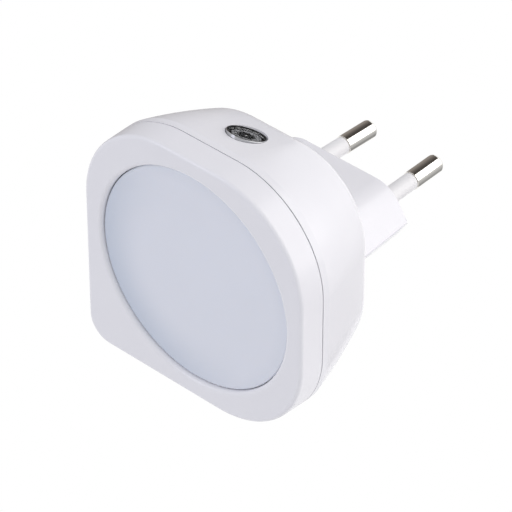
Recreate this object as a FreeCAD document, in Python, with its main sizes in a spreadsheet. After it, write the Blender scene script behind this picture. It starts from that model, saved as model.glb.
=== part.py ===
import FreeCAD, Part
import math
import os

import Sketcher
from FreeCAD import Placement, Rotation, Vector

# Plug-in night light: a square, round-shouldered wall light that stands on its two mains pins.
# Millimetres. +X is the viewer's right, +Y points into the socket and +Z is up.
# The origin is the middle of the plug's engagement face, midway between the pins.

doc = FreeCAD.newDocument("plug_in_night_light")

# Driving dimensions
sheet = doc.addObject("Spreadsheet::Sheet", "dims")

DIMENSIONS = [
    ("body_width", 57.0, "front face, side to side and top to bottom"),
    ("corner_round", 21.6, "three wide corners of the front outline"),
    ("low_corner_round", 5.4, "the tight lower left corner"),
    ("stand_off", 43.5, "front face to plug engagement face"),
    ("plug_drop", 1.2, "plug axis below the middle of the front"),
    ("draft", 1.8, "moulding draft of the bezel's sides, degrees"),
    ("bezel_depth", 6.0, "front face to the seam"),
    ("front_wall", 2.0, "bezel front, thickness"),
    ("front_edge_round", 0.8, "outer edge of the bezel's face"),
    ("rim_margin", 4.1, "bezel face beside the round opening, where it is narrowest"),
    ("rim_round", 0.8, "rounded lip of the opening"),
    ("seam_gap", 0.25, "shadow line between bezel and housing"),
    ("shell_wall", 1.6, "wall of the rear housing"),
    ("tongue_wall", 1.0, "bezel tongue that enters the housing"),
    ("tongue_gap", 0.1, "tongue to housing wall"),
    ("tongue_length", 3.0, "how far the tongue enters"),
    ("hook_width", 8.0, "snap hooks on the tongue"),
    ("hook_reach", 0.4, "snap hook beyond the tongue"),
    ("hook_height", 1.2, "snap hook along the depth"),
    ("hook_gap", 0.15, "snap hook to its catch, tongue to its relief"),
    ("hook_shift", 8.0, "left and lower hooks, off the middle"),
    ("diffuser_sink", 0.9, "diffuser face behind the bezel face"),
    ("diffuser_gap", 0.15, "diffuser to the rim, all round"),
    ("diffuser_edge_round", 0.3, "front edge of the diffuser"),
    ("flange_thickness", 0.9, "diffuser flange behind the bezel"),
    ("flange_overlap", 0.9, "diffuser flange beyond the opening"),
    ("box_height", 5.5, "light box along the depth"),
    ("box_wall", 1.2, "light box wall and floor"),
    ("box_ledge", 7.8, "light box floor, from its outline to its window"),
    ("box_boss", 4.2, "light box screw boss, diameter"),
    ("box_boss_height", 2.4, "light box screw boss above the floor"),
    ("clip_width", 5.0, "clips that hold the light box"),
    ("clip_wall", 1.2, "clip thickness"),
    ("clip_gap", 0.15, "clip to light box"),
    ("clip_nose", 0.7, "clip nose under the light box"),
    ("led_board_inset", 3.3, "round lamp board, inside the light box's outline"),
    ("board_thickness", 1.6, "both circuit boards"),
    ("led_inset", 5.5, "lamp centres, inside the light box's window"),
    ("led_length", 3.5, "lamp package"),
    ("led_width", 2.8, "lamp package"),
    ("led_height", 0.8, "lamp package"),
    ("led_well", 1.1, "lamp package window, radius"),
    ("led_floor", 0.56, "lamp package under its window"),
    ("box_screw_inset", 2.0, "lamp board screws, inside the board's edge"),
    ("screw_head", 3.2, "board screws, head diameter"),
    ("screw_head_height", 1.2, "board screws"),
    ("screw_shank", 1.6, "board screws, shank diameter"),
    ("screw_slot", 0.5, "cross recess width and depth"),
    ("screw_slot_length", 1.9, "cross recess, each arm"),
    ("pilot_spare", 0.4, "pilot holes beyond the screws' ends"),
    ("screw_hole_gap", 0.3, "screw hole over the shank, in boards"),
    ("box_screw_length", 4.2, "lamp board screw under the head"),
    ("band_length", 1.5, "straight band of the housing behind the seam"),
    ("rear_depth", 26.0, "front face to the rear wall"),
    ("mid_inset", 2.5, "housing halfway along its taper, inside the front's outline"),
    ("rear_inset", 5.85, "housing at the rear wall, inside the front's outline"),
    ("rear_corner_round", 17.0, "three wide corners at the rear"),
    ("rear_low_corner_round", 9.0, "lower left corner at the rear"),
    ("rear_round", 5.0, "rounding into the rear wall"),
    ("back_wall", 2.0, "rear wall, thickness"),
    ("block_width", 35.3, "plug block at the engagement face"),
    ("block_height", 13.7, "plug block at the engagement face"),
    ("block_flat", 26.1, "flat top of the plug block, to its shoulders' corners"),
    ("block_shoulder_round", 7.0, "rounded shoulders beside the plug block's flats"),
    ("block_draft", 4.6, "taper of the plug block's flanks, degrees"),
    ("block_ridge_round", 0.5, "side ridges of the plug block"),
    ("block_face_round", 0.4, "edges of the engagement face"),
    ("block_wall", 2.2, "side wall of the plug block"),
    ("block_ridge_wall", 2.64, "wall at the plug block's side ridges"),
    ("face_wall", 4.0, "wall behind the engagement face"),
    ("pin_spacing", 18.6, "pin centres at the engagement face"),
    ("pin_tip_spacing", 17.5, "pin centres at the tips"),
    ("pin_length", 19.0, "pin beyond the engagement face"),
    ("pin_diameter", 4.0, "bare metal of the pin"),
    ("pin_tip_round", 0.75, "rounded edge of the pin's tip"),
    ("pin_core", 3.0, "pin inside its sleeve, diameter"),
    ("pin_tail", 9.5, "pin behind the engagement face"),
    ("pin_tail_diameter", 3.2, "solder end of the pin"),
    ("collar_diameter", 5.0, "collar that seats in the housing"),
    ("collar_thickness", 1.1, "collar that seats in the housing"),
    ("collar_gap", 0.12, "collar to the face wall and to its retainer"),
    ("sleeve_length", 10.8, "insulating sleeve beyond the face"),
    ("sleeve_diameter", 3.66, "insulating sleeve"),
    ("sleeve_end_round", 0.25, "front edge of the sleeve"),
    ("sleeve_gap", 0.12, "sleeve to the housing's bore"),
    ("retainer_thickness", 2.0, "plate that holds the pins down"),
    ("retainer_gap", 0.3, "plate to the plug block's walls"),
    ("retainer_bore_gap", 0.7, "plate to the pin, radius"),
    ("retainer_boss", 5.0, "boss under the plate, diameter"),
    ("retainer_screw_length", 4.6, "under the head"),
    ("sensor_depth", 15.75, "front face to the middle of the light sensor"),
    ("sensor_tilt", 24.5, "sensor leans back with the housing wall, degrees"),
    ("sensor_ring_outer", 8.2, "trim ring"),
    ("sensor_ring_inner", 7.4, "trim ring"),
    ("sensor_ring_proud", 0.15, "trim ring above the wall"),
    ("sensor_ring_round", 0.16, "top edges of the trim ring"),
    ("sensor_seat_depth", 0.65, "counterbore that takes the trim ring"),
    ("sensor_gap", 0.1, "trim ring, window, cup and lens in their bores"),
    ("sensor_window_thickness", 0.6, "clear window"),
    ("sensor_cup_flange", 9.2, "flange at the inner end of the cup, diameter"),
    ("sensor_cup_floor", 1.0, "floor and flange of the cup"),
    ("sensor_boss", 10.0, "tube moulded inside the housing for the cup"),
    ("cell_diameter", 6.3, "photocell"),
    ("cell_thickness", 2.0, "photocell"),
    ("cell_sink", 0.06, "photocell below the clear window"),
    ("cell_shoulder", 0.2, "sloping shoulder of the photocell"),
    ("cell_lens", 3.5, "dark lens of the photocell, diameter"),
    ("cell_lens_height", 0.6, "dark lens, flush in the photocell's face"),
    ("cell_lens_round", 0.3, "rounded edge of the lens"),
    ("cell_lead_spacing", 2.5, "photocell leads"),
    ("cell_lead_diameter", 0.6, "photocell leads"),
    ("cell_lead_run", 1.6, "straight leads below the cup"),
    ("cell_lead_rise", 3.4, "straight leads above the driver board"),
    ("cell_lead_slant", 0.6, "leads lean inwards above the board"),
    ("cell_lead_inset", 1.2, "leads, inside the board's upper edge"),
    ("driver_side_inset", 5.65, "driver board's sides, inside the rear outline"),
    ("driver_end_inset", 9.15, "driver board's ends, inside the rear outline"),
    ("driver_corner", 2.0, "driver board corners"),
    ("driver_post_height", 3.6, "posts under the driver board"),
    ("driver_post", 4.2, "posts, diameter"),
    ("driver_post_inset", 3.2, "post centres from the board's edges"),
    ("driver_screw_length", 4.4, "under the head"),
    ("capacitor_length", 13.0, "film capacitor"),
    ("capacitor_width", 10.0, "film capacitor"),
    ("capacitor_height", 5.0, "film capacitor"),
    ("part_edge_round", 0.5, "moulded edges of the board parts"),
    ("part_side_space", 1.0, "board parts, inside the board's side edges"),
    ("part_end_space", 0.8, "board parts, inside the board's other edges"),
    ("part_space", 1.4, "between neighbouring board parts"),
    ("electrolytic_diameter", 6.3, "electrolytic capacitor"),
    ("electrolytic_height", 5.5, "electrolytic capacitor"),
    ("bridge_length", 4.8, "bridge rectifier"),
    ("bridge_width", 4.0, "bridge rectifier"),
    ("bridge_height", 2.4, "bridge rectifier"),
    ("bridge_leg_pitch", 2.6, "bridge rectifier legs"),
    ("fuse_diameter", 3.0, "fusible resistor"),
    ("fuse_length", 8.5, "fusible resistor"),
    ("lead_diameter", 0.6, "component leads"),
    ("chip_length", 3.2, "chip resistors"),
    ("chip_width", 1.6, "chip resistors"),
    ("chip_height", 0.6, "chip resistors"),
    ("chip_pitch", 2.7, "chip resistors, centre to centre"),
    ("transistor_diameter", 4.6, "switching transistor"),
    ("transistor_height", 4.6, "switching transistor"),
    ("transistor_lift", 1.0, "switching transistor above the board"),
    ("transistor_flat", 1.15, "flat side, from the transistor's middle"),
    ("transistor_leg", 0.42, "transistor legs, square"),
    ("transistor_leg_pitch", 1.27, "transistor legs, centre to centre"),
    ("wire_diameter", 1.3, "mains wires to the pins"),
    ("wire_inset", 2.0, "board ends of the mains wires, inside the pins"),
    ("wire_rise", 1.6, "board ends of the mains wires, above the front's middle"),
    ("wire_slant", 4.8, "slanting run of the mains wires, along the depth"),
    ("lamp_wire_diameter", 1.0, "wires between the boards"),
    ("lamp_wire_pitch", 2.4, "between the two wires"),
    ("lamp_wire_inset", 11.0, "at the driver board, inside its side edge"),
    ("lamp_wire_drop", 3.2, "at the driver board, below its upper edge"),
    ("lamp_wire_step", 3.0, "sideways step between the boards"),
    ("lamp_wire_fall", 2.8, "downward step between the boards"),
    ("solder_gap", 0.1, "board parts and wire ends to their board"),
]
for row, (alias, size, note) in enumerate(DIMENSIONS, start=1):
    sheet.set(f"A{row}", note)
    sheet.set(f"B{row}", str(size))
    sheet.setAlias(f"B{row}", alias)
doc.recompute()

# Levels along the depth, counted from the engagement face towards the room
SEAM = "(dims.stand_off - dims.bezel_depth)"
BAND_END = f"({SEAM} - dims.band_length)"
REAR = "(dims.stand_off - dims.rear_depth)"
MID = f"(({BAND_END} + {REAR}) / 2)"
FRONT_BACK = "(dims.stand_off - dims.front_wall)"
FLANGE_BACK = f"({FRONT_BACK} - dims.flange_thickness)"
BOX_BACK = f"({FLANGE_BACK} - dims.box_height)"
LED_BOARD_BACK = f"({BOX_BACK} - dims.board_thickness)"
INNER_BACK = f"({REAR} + dims.back_wall)"
DRIVER_BACK = f"({INNER_BACK} + dims.driver_post_height)"
DRIVER_FRONT = f"({DRIVER_BACK} + dims.board_thickness)"
COLLAR_BACK = "(dims.face_wall + dims.collar_gap)"
COLLAR_TOP = f"({COLLAR_BACK} + dims.collar_thickness)"
RETAINER_BACK = f"({COLLAR_TOP} + dims.collar_gap)"
RETAINER_TOP = f"({RETAINER_BACK} + dims.retainer_thickness)"

# Half widths of the outlines
FRONT_HALF = "(dims.body_width / 2)"
RIM_RADIUS = f"({FRONT_HALF} - dims.rim_margin)"
SEAM_SPREAD = "(dims.bezel_depth * tan(dims.draft))"
SEAM_HALF = f"({FRONT_HALF} + {SEAM_SPREAD})"
SEAM_ROUND = f"(dims.corner_round + {SEAM_SPREAD})"
SEAM_LOW_ROUND = f"(dims.low_corner_round + {SEAM_SPREAD})"
MID_HALF = f"({FRONT_HALF} - dims.mid_inset)"
MID_ROUND = f"(({SEAM_ROUND} + dims.rear_corner_round) / 2)"
MID_LOW_ROUND = f"(({SEAM_LOW_ROUND} + dims.rear_low_corner_round) / 2)"
REAR_HALF = f"({FRONT_HALF} - dims.rear_inset)"
REAR_SLOPE = f"(({MID_HALF} - {REAR_HALF}) / ({MID} - {REAR}))"
TONGUE_INSET = "(dims.shell_wall + dims.tongue_gap)"
SKIRT_INSET = f"({TONGUE_INSET} + dims.tongue_wall)"
FLANGE_RADIUS = f"({RIM_RADIUS} + dims.flange_overlap)"
BOX_WINDOW_RADIUS = f"({FLANGE_RADIUS} - dims.box_ledge)"
LED_BOARD_RADIUS = f"({FLANGE_RADIUS} - dims.led_board_inset)"
LED_RADIUS = f"({BOX_WINDOW_RADIUS} - dims.led_inset)"

# Plug block and pins
BLOCK_ROOT = f"({REAR} + dims.rear_round)"
BLOCK_SPREAD = f"({BLOCK_ROOT} * tan(dims.block_draft))"
PIN_TILT = "atan((dims.pin_spacing - dims.pin_tip_spacing) / 2 / dims.pin_length)"
CAVITY_HALF = "(dims.block_width / 2 - dims.block_ridge_wall)"
CAVITY_TOP = "(dims.block_height / 2 - dims.block_wall)"
CAVITY_FLAT = "(dims.block_flat / 2 - dims.block_wall)"

# Light sensor: a point on the housing's top wall, and what hangs below it
SENSOR_SHARE = f"((dims.sensor_depth - dims.bezel_depth - dims.band_length) / ({BAND_END} - {MID}))"
SENSOR_RISE = f"({SEAM_HALF} + ({MID_HALF} - {SEAM_HALF}) * {SENSOR_SHARE})"
SENSOR_UP = f"(dims.plug_drop + {SENSOR_RISE})"
SENSOR_LEVEL = "(dims.stand_off - dims.sensor_depth)"
CUP_RADIUS = "(dims.sensor_ring_inner / 2 - dims.sensor_gap)"
CELL_TOP = "(-dims.sensor_seat_depth - dims.cell_sink)"
CELL_BASE = f"({CELL_TOP} - dims.cell_thickness)"
CUP_FLOOR = f"({CELL_BASE} - dims.solder_gap)"
CUP_BASE = f"({CUP_FLOOR} - dims.sensor_cup_floor)"

# Driver board and its posts, from the middle of the front
DRIVER_SIDE = f"({REAR_HALF} - dims.driver_side_inset)"
DRIVER_END = f"({REAR_HALF} - dims.driver_end_inset)"
POST_X = f"({DRIVER_SIDE} - dims.driver_post_inset)"
POST_Y = f"({DRIVER_END} - dims.driver_post_inset)"


def value(expression):
    """What an expression on the sheet comes to, in millimetres or degrees."""
    result = sheet.evalExpression(expression)
    return float(getattr(result, "Value", result))


def new_body(label):
    """A body drawn as seen from the front: x right, y up, z out of the wall."""
    body = doc.addObject("PartDesign::Body", label)
    body.Label = label
    body.Placement = Placement(Vector(0, 0, 0), Rotation(Vector(1, 0, 0), 90))
    return body


def origin_plane(body, role):
    return next(item for item in body.Origin.OriginFeatures if item.Role == role)


def new_sketch(body, name, role="XY_Plane", x="0", y="0", z="0", axis=None, angle="0"):
    """A sketch on one of the body's own planes, moved and turned by expressions."""
    sketch = body.newObject("Sketcher::SketchObject", name)
    sketch.AttachmentSupport = [(origin_plane(body, role), "")]
    sketch.MapMode = "FlatFace"
    if axis:
        sketch.AttachmentOffset = Placement(Vector(0, 0, 0), Rotation(axis, 1))
        sketch.setExpression("AttachmentOffset.Rotation.Angle", angle)
    for letter, place in (("x", x), ("y", y), ("z", z)):
        sketch.setExpression(f"AttachmentOffset.Base.{letter}", place)
    return sketch


def bind(sketch, kind, *arguments, size):
    """A dimension of the sketch, driven by an expression."""
    number = sketch.addConstraint(Sketcher.Constraint(kind, *arguments, value(size)))
    name = f"size_{number}"
    sketch.renameConstraint(number, name)
    sketch.setExpression(f"Constraints.{name}", size)


def fix_point(sketch, geometry, point, x, y):
    """Hold a point of the sketch at x, y from the sketch's origin."""
    for kind, place, axis in (("DistanceX", x, -2), ("DistanceY", y, -1)):
        if place == "0":
            sketch.addConstraint(Sketcher.Constraint("PointOnObject", geometry, point, axis))
        else:
            bind(sketch, kind, -1, 1, geometry, point, size=place)


def draw_polygon(sketch, points):
    """A closed outline of straight lines through points given as expressions."""
    corners = [Vector(value(x), value(y), 0) for x, y in points]
    lines = []
    for start, end in zip(corners, corners[1:] + corners[:1]):
        lines.append(sketch.addGeometry(Part.LineSegment(start, end)))
    for line, following in zip(lines, lines[1:] + lines[:1]):
        sketch.addConstraint(Sketcher.Constraint("Coincident", line, 2, following, 1))
    for line, (x, y) in zip(lines, points):
        fix_point(sketch, line, 1, x, y)


def draw_rectangle(sketch, width, height, x="0", y="0"):
    left, right = f"({x} - ({width}) / 2)", f"({x} + ({width}) / 2)"
    low, high = f"({y} - ({height}) / 2)", f"({y} + ({height}) / 2)"
    draw_polygon(sketch, [(left, low), (right, low), (right, high), (left, high)])


def draw_circle(sketch, radius, x="0", y="0"):
    centre = Vector(value(x), value(y), 0)
    circle = sketch.addGeometry(Part.Circle(centre, Vector(0, 0, 1), value(radius)))
    fix_point(sketch, circle, 3, x, y)
    bind(sketch, "Radius", circle, size=radius)


def draw_rounded_square(sketch, half, corner, low_corner):
    """The light's outline: three wide corners and a tight one at the lower left."""
    size, wide, tight = value(half), value(corner), value(low_corner)
    corners = [(1, 1, wide, 0), (-1, 1, wide, 90), (-1, -1, tight, 180), (1, -1, wide, 270)]
    arcs = []
    for across, up, radius, start in corners:
        middle = Vector(across * (size - radius), up * (size - radius), 0)
        circle = Part.Circle(middle, Vector(0, 0, 1), radius)
        angles = math.radians(start), math.radians(start + 90)
        arcs.append(sketch.addGeometry(Part.ArcOfCircle(circle, *angles)))
    sides = []
    for arc, following in zip(arcs, arcs[1:] + arcs[:1]):
        start = sketch.getPoint(arc, 2)
        end = sketch.getPoint(following, 1)
        sides.append(sketch.addGeometry(Part.LineSegment(start, end)))
    for arc, side, following in zip(arcs, sides, arcs[1:] + arcs[:1]):
        sketch.addConstraint(Sketcher.Constraint("Tangent", arc, 2, side, 1))
        sketch.addConstraint(Sketcher.Constraint("Tangent", side, 2, following, 1))
    top, left, bottom, right = sides
    for side in (top, bottom):
        sketch.addConstraint(Sketcher.Constraint("Horizontal", side))
    for side in (left, right):
        sketch.addConstraint(Sketcher.Constraint("Vertical", side))
    bind(sketch, "DistanceY", -1, 1, top, 1, size=half)
    bind(sketch, "DistanceX", left, 1, -1, 1, size=half)
    bind(sketch, "DistanceY", bottom, 1, -1, 1, size=half)
    bind(sketch, "DistanceX", -1, 1, right, 1, size=half)
    upper_right, upper_left, lower_left, lower_right = arcs
    bind(sketch, "Radius", upper_right, size=corner)
    sketch.addConstraint(Sketcher.Constraint("Equal", upper_right, upper_left))
    sketch.addConstraint(Sketcher.Constraint("Equal", upper_right, lower_right))
    bind(sketch, "Radius", lower_left, size=low_corner)


def outline(body, name, level, half, corner, low_corner, inset="0"):
    """A sketch of the light's outline at one level, drawn in by an inset."""
    sketch = new_sketch(body, name, y="dims.plug_drop", z=level)
    sizes = [f"({size} - {inset})" for size in (half, corner, low_corner)]
    draw_rounded_square(sketch, *sizes)
    return sketch


def block_outline(body, name, level, spread="0"):
    """The flattened hexagon of the plug block at one level, with its shoulders rounded."""
    sketch = new_sketch(body, name, z=level)
    half = f"(dims.block_width / 2 + {spread})"
    top = f"(dims.block_height / 2 + {spread} / 2)"
    flat = f"(dims.block_flat / 2 + {spread} / 2)"
    draw_rounded_hexagon(sketch, half, top, flat, "dims.block_shoulder_round")
    return sketch


def draw_hexagon(sketch, half, top, flat):
    points = [(half, "0"), (flat, top), (f"-{flat}", top)]
    points += [(f"-{half}", "0"), (f"-{flat}", f"-{top}"), (flat, f"-{top}")]
    draw_polygon(sketch, points)


def draw_rounded_hexagon(sketch, half, top, flat, shoulder):
    """A hexagon with its ridges at the sides and an arc in place of each shoulder's corner."""
    ridge, corner = Vector(value(half), 0, 0), Vector(value(flat), value(top), 0)
    radius = value(shoulder)
    turn = (corner - ridge).getAngle(Vector(-1, 0, 0))
    middle = corner - Vector(radius * math.tan(turn / 2), radius, 0)
    up, down = math.pi / 2, 3 * math.pi / 2
    quarters = [(1, 1, up - turn, up), (-1, 1, up, up + turn),
                (-1, -1, down - turn, down), (1, -1, down, down + turn)]
    arcs = []
    for across, way, start, end in quarters:
        circle = Part.Circle(Vector(across * middle.x, way * middle.y, 0), Vector(0, 0, 1), radius)
        arcs.append(sketch.addGeometry(Part.ArcOfCircle(circle, start, end)))
    upper_right, upper_left, lower_left, lower_right = arcs

    def line(start, end):
        return sketch.addGeometry(Part.LineSegment(start, end))

    top_flat = line(sketch.getPoint(upper_right, 2), sketch.getPoint(upper_left, 1))
    left_upper = line(sketch.getPoint(upper_left, 2), -ridge)
    left_lower = line(-ridge, sketch.getPoint(lower_left, 1))
    bottom_flat = line(sketch.getPoint(lower_left, 2), sketch.getPoint(lower_right, 1))
    right_lower = line(sketch.getPoint(lower_right, 2), ridge)
    right_upper = line(ridge, sketch.getPoint(upper_right, 1))
    chain = [upper_right, top_flat, upper_left, left_upper, left_lower, lower_left, bottom_flat,
             lower_right, right_lower, right_upper]
    for item, following in zip(chain, chain[1:] + chain[:1]):
        kind = "Tangent" if item in arcs or following in arcs else "Coincident"
        sketch.addConstraint(Sketcher.Constraint(kind, item, 2, following, 1))
    for flat_line in (top_flat, bottom_flat):
        sketch.addConstraint(Sketcher.Constraint("Horizontal", flat_line))
    fix_point(sketch, left_upper, 2, f"-{half}", "0")
    fix_point(sketch, right_lower, 2, half, "0")
    corners = [(1, 1, top_flat, right_upper), (-1, 1, top_flat, left_upper),
               (-1, -1, bottom_flat, left_lower), (1, -1, bottom_flat, right_lower)]
    for across, way, flat_line, flank in corners:
        point = sketch.addGeometry(Part.Point(Vector(across * corner.x, way * corner.y, 0)), True)
        bind(sketch, "DistanceX", -1, 1, point, 1, size=f"{across} * {flat}")
        for side in (flat_line, flank):
            sketch.addConstraint(Sketcher.Constraint("PointOnObject", point, 1, side))
    bind(sketch, "DistanceY", -1, 1, top_flat, 1, size=top)
    bind(sketch, "DistanceY", bottom_flat, 1, -1, 1, size=top)
    bind(sketch, "Radius", upper_right, size=shoulder)
    for arc in (upper_left, lower_left, lower_right):
        sketch.addConstraint(Sketcher.Constraint("Equal", upper_right, arc))


def pad(body, sketch, length, backwards=False, taper=None):
    feature = body.newObject("PartDesign::Pad", sketch.Name + "_pad")
    feature.Profile = sketch
    feature.setExpression("Length", length)
    feature.Reversed = backwards
    if taper:
        feature.setExpression("TaperAngle", taper)
    return settle(feature)


def pocket(body, sketch, length, forwards=False):
    """Cut away from the sketch's normal, or along it."""
    before = body.Shape.Volume
    feature = body.newObject("PartDesign::Pocket", sketch.Name + "_cut")
    feature.Profile = sketch
    feature.setExpression("Length", length)
    feature.Reversed = forwards
    settle(feature)
    if feature.Shape.Volume >= before - 1e-6:
        raise RuntimeError(f"{feature.Name} cuts nothing")
    return feature


def loft(body, kind, name, sketches, ruled=False):
    feature = body.newObject(kind, name)
    feature.Profile = sketches[0]
    feature.Sections = sketches[1:]
    feature.Ruled = ruled
    return settle(feature)


def revolve(body, sketch, axis="V_Axis"):
    feature = body.newObject("PartDesign::Revolution", sketch.Name + "_turned")
    feature.Profile = sketch
    feature.ReferenceAxis = (sketch, [axis])
    feature.Angle = 360
    return settle(feature)


def repeat_round(body, feature, sketch, count):
    pattern = body.newObject("PartDesign::PolarPattern", feature.Name + "_ring")
    pattern.Originals = [feature]
    pattern.Axis = (sketch, ["N_Axis"])
    pattern.Angle = 360
    pattern.Occurrences = count
    body.Tip = pattern
    return settle(pattern)


def round_edges(body, name, radius, wanted):
    """Fillet the edges of the body's last feature that the test picks."""
    base = body.Tip
    edges = [f"Edge{i}" for i, edge in enumerate(base.Shape.Edges, start=1) if wanted(edge)]
    if not edges:
        raise RuntimeError(f"{name} finds no edge")
    feature = body.newObject("PartDesign::Fillet", name)
    feature.Base = (base, edges)
    feature.setExpression("Radius", radius)
    return settle(feature)


def settle(feature):
    doc.recompute()
    if not feature.isValid() or feature.Shape.isNull():
        raise RuntimeError(f"{feature.Name} failed")
    return feature


def at_level(level):
    """A test for edges that lie flat at one level."""
    place = value(level)
    return lambda edge: abs(edge.BoundBox.ZMin - place) < 1e-4 and abs(edge.BoundBox.ZMax - place) < 1e-4


def round_at(level, radius, x="0", y="0"):
    """A test for round edges of one radius about one centre, at one level."""
    centre = Vector(value(x), value(y), value(level))
    size = value(radius)

    def test(edge):
        curve = edge.Curve
        if not isinstance(curve, Part.Circle):
            return False
        return abs(curve.Radius - size) < 1e-4 and curve.Center.distanceToPoint(centre) < 1e-3

    return test


# Front bezel: the square face with its round opening, a tongue that enters the housing,
# four snap hooks on the tongue, and four clips behind the face for the light box
bezel = new_body("front_bezel")
face = outline(bezel, "bezel_face", "dims.stand_off", FRONT_HALF, "dims.corner_round", "dims.low_corner_round")
pad(bezel, face, "dims.bezel_depth - dims.seam_gap", backwards=True, taper="dims.draft")
SEAM_OUTLINE = (SEAM_HALF, SEAM_ROUND, SEAM_LOW_ROUND)
tongue = outline(bezel, "tongue", f"({SEAM} + 2 * dims.seam_gap)", *SEAM_OUTLINE, inset=TONGUE_INSET)
pad(bezel, tongue, "dims.tongue_length + 2 * dims.seam_gap", backwards=True)
inside = outline(bezel, "bezel_inside", f"({SEAM} - dims.tongue_length)", *SEAM_OUTLINE, inset=SKIRT_INSET)
pocket(bezel, inside, f"{FRONT_BACK} - {SEAM} + dims.tongue_length", forwards=True)

TONGUE_HALF = f"({SEAM_HALF} - {TONGUE_INSET})"
HOOK_MIDDLE = f"({TONGUE_HALF} + (dims.hook_reach - dims.tongue_wall / 2) / 2)"
HOOK_DEPTH = "(dims.hook_reach + dims.tongue_wall / 2)"


def hook_places(middle):
    """Hooks at the middle of the top and right, and off the middle at the left and below."""
    return [("0", middle, True), (middle, "0", False),
            (f"-{middle}", "-dims.hook_shift", False), ("-dims.hook_shift", f"-{middle}", True)]


def draw_hooks(sketch, middle, depth, width):
    for x, y, flat in hook_places(middle):
        sizes = (width, depth) if flat else (depth, width)
        draw_rectangle(sketch, *sizes, x=x, y=y)


hooks = new_sketch(bezel, "hooks", y="dims.plug_drop", z=f"({SEAM} - dims.tongue_length)")
draw_hooks(hooks, HOOK_MIDDLE, HOOK_DEPTH, "dims.hook_width")
pad(bezel, hooks, "dims.hook_height")

CLIP_COUNT = 4
CLIP_INNER = f"({FLANGE_RADIUS} + dims.clip_gap)"
clip = new_sketch(bezel, "clip", y="dims.plug_drop", z=FRONT_BACK, axis=Vector(0, 0, 1), angle="45")
draw_rectangle(clip, "dims.clip_wall", "dims.clip_width", x=f"({CLIP_INNER} + dims.clip_wall / 2)")
CLIP_LENGTH = f"({FRONT_BACK} - {BOX_BACK} + 2 * dims.clip_gap + dims.clip_wall)"
clip_arm = pad(bezel, clip, CLIP_LENGTH, backwards=True)
repeat_round(bezel, clip_arm, clip, CLIP_COUNT)
nose = new_sketch(bezel, "clip_nose", y="dims.plug_drop", z=f"({FRONT_BACK} - {CLIP_LENGTH})",
                  axis=Vector(0, 0, 1), angle="45")
NOSE_REACH = "(dims.clip_nose + dims.clip_gap + dims.clip_wall / 2)"
draw_rectangle(nose, NOSE_REACH, "dims.clip_width",
               x=f"({CLIP_INNER} + dims.clip_wall / 2 - {NOSE_REACH} / 2)")
clip_nose = pad(bezel, nose, "dims.clip_wall + dims.clip_gap")
repeat_round(bezel, clip_nose, nose, CLIP_COUNT)

opening = new_sketch(bezel, "opening", y="dims.plug_drop", z="dims.stand_off")
draw_circle(opening, RIM_RADIUS)
pocket(bezel, opening, "2 * dims.front_wall")
round_edges(bezel, "face_edges", "dims.front_edge_round",
            lambda edge: at_level("dims.stand_off")(edge)
            and not round_at("dims.stand_off", RIM_RADIUS, y="dims.plug_drop")(edge))
round_edges(bezel, "rim_edge", "dims.rim_round",
            round_at("dims.stand_off", RIM_RADIUS, y="dims.plug_drop"))

# Diffuser: an opal disc whose flange lies against the back of the bezel's face
diffuser = new_body("diffuser")
flange = new_sketch(diffuser, "flange", y="dims.plug_drop", z=FLANGE_BACK)
draw_circle(flange, FLANGE_RADIUS)
pad(diffuser, flange, "dims.flange_thickness")
DISC_RADIUS = f"({RIM_RADIUS} - dims.diffuser_gap)"
DISC_FACE = "(dims.stand_off - dims.diffuser_sink)"
disc = new_sketch(diffuser, "disc", y="dims.plug_drop", z=FRONT_BACK)
draw_circle(disc, DISC_RADIUS)
pad(diffuser, disc, f"{DISC_FACE} - {FRONT_BACK}")
round_edges(diffuser, "disc_edge", "dims.diffuser_edge_round",
            round_at(DISC_FACE, DISC_RADIUS, y="dims.plug_drop"))

# Light box: a white tray between the diffuser and the lamp board
light_box = new_body("light_box")
tray = new_sketch(light_box, "tray", y="dims.plug_drop", z=BOX_BACK)
draw_circle(tray, FLANGE_RADIUS)
pad(light_box, tray, "dims.box_height")
hollow = new_sketch(light_box, "tray_hollow", y="dims.plug_drop", z=FLANGE_BACK)
draw_circle(hollow, f"({FLANGE_RADIUS} - dims.box_wall)")
pocket(light_box, hollow, "dims.box_height - dims.box_wall")
window = new_sketch(light_box, "tray_window", y="dims.plug_drop", z=FLANGE_BACK)
draw_circle(window, BOX_WINDOW_RADIUS)
pocket(light_box, window, "2 * dims.box_height")
BOX_SCREW_COUNT = 3
BOX_SCREW_X = f"({LED_BOARD_RADIUS} - dims.box_screw_inset)"
boss = new_sketch(light_box, "tray_boss", y="dims.plug_drop", z=BOX_BACK, axis=Vector(0, 0, 1), angle="90")
draw_circle(boss, "dims.box_boss / 2", x=BOX_SCREW_X)
box_boss = pad(light_box, boss, "dims.box_wall + dims.box_boss_height")
repeat_round(light_box, box_boss, boss, BOX_SCREW_COUNT)
pilot = new_sketch(light_box, "tray_pilot", y="dims.plug_drop", z=BOX_BACK, axis=Vector(0, 0, 1), angle="90")
draw_circle(pilot, "dims.screw_shank / 2", x=BOX_SCREW_X)
box_pilot = pocket(light_box, pilot, "dims.box_screw_length - dims.board_thickness + dims.pilot_spare",
                   forwards=True)
repeat_round(light_box, box_pilot, pilot, BOX_SCREW_COUNT)

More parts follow.
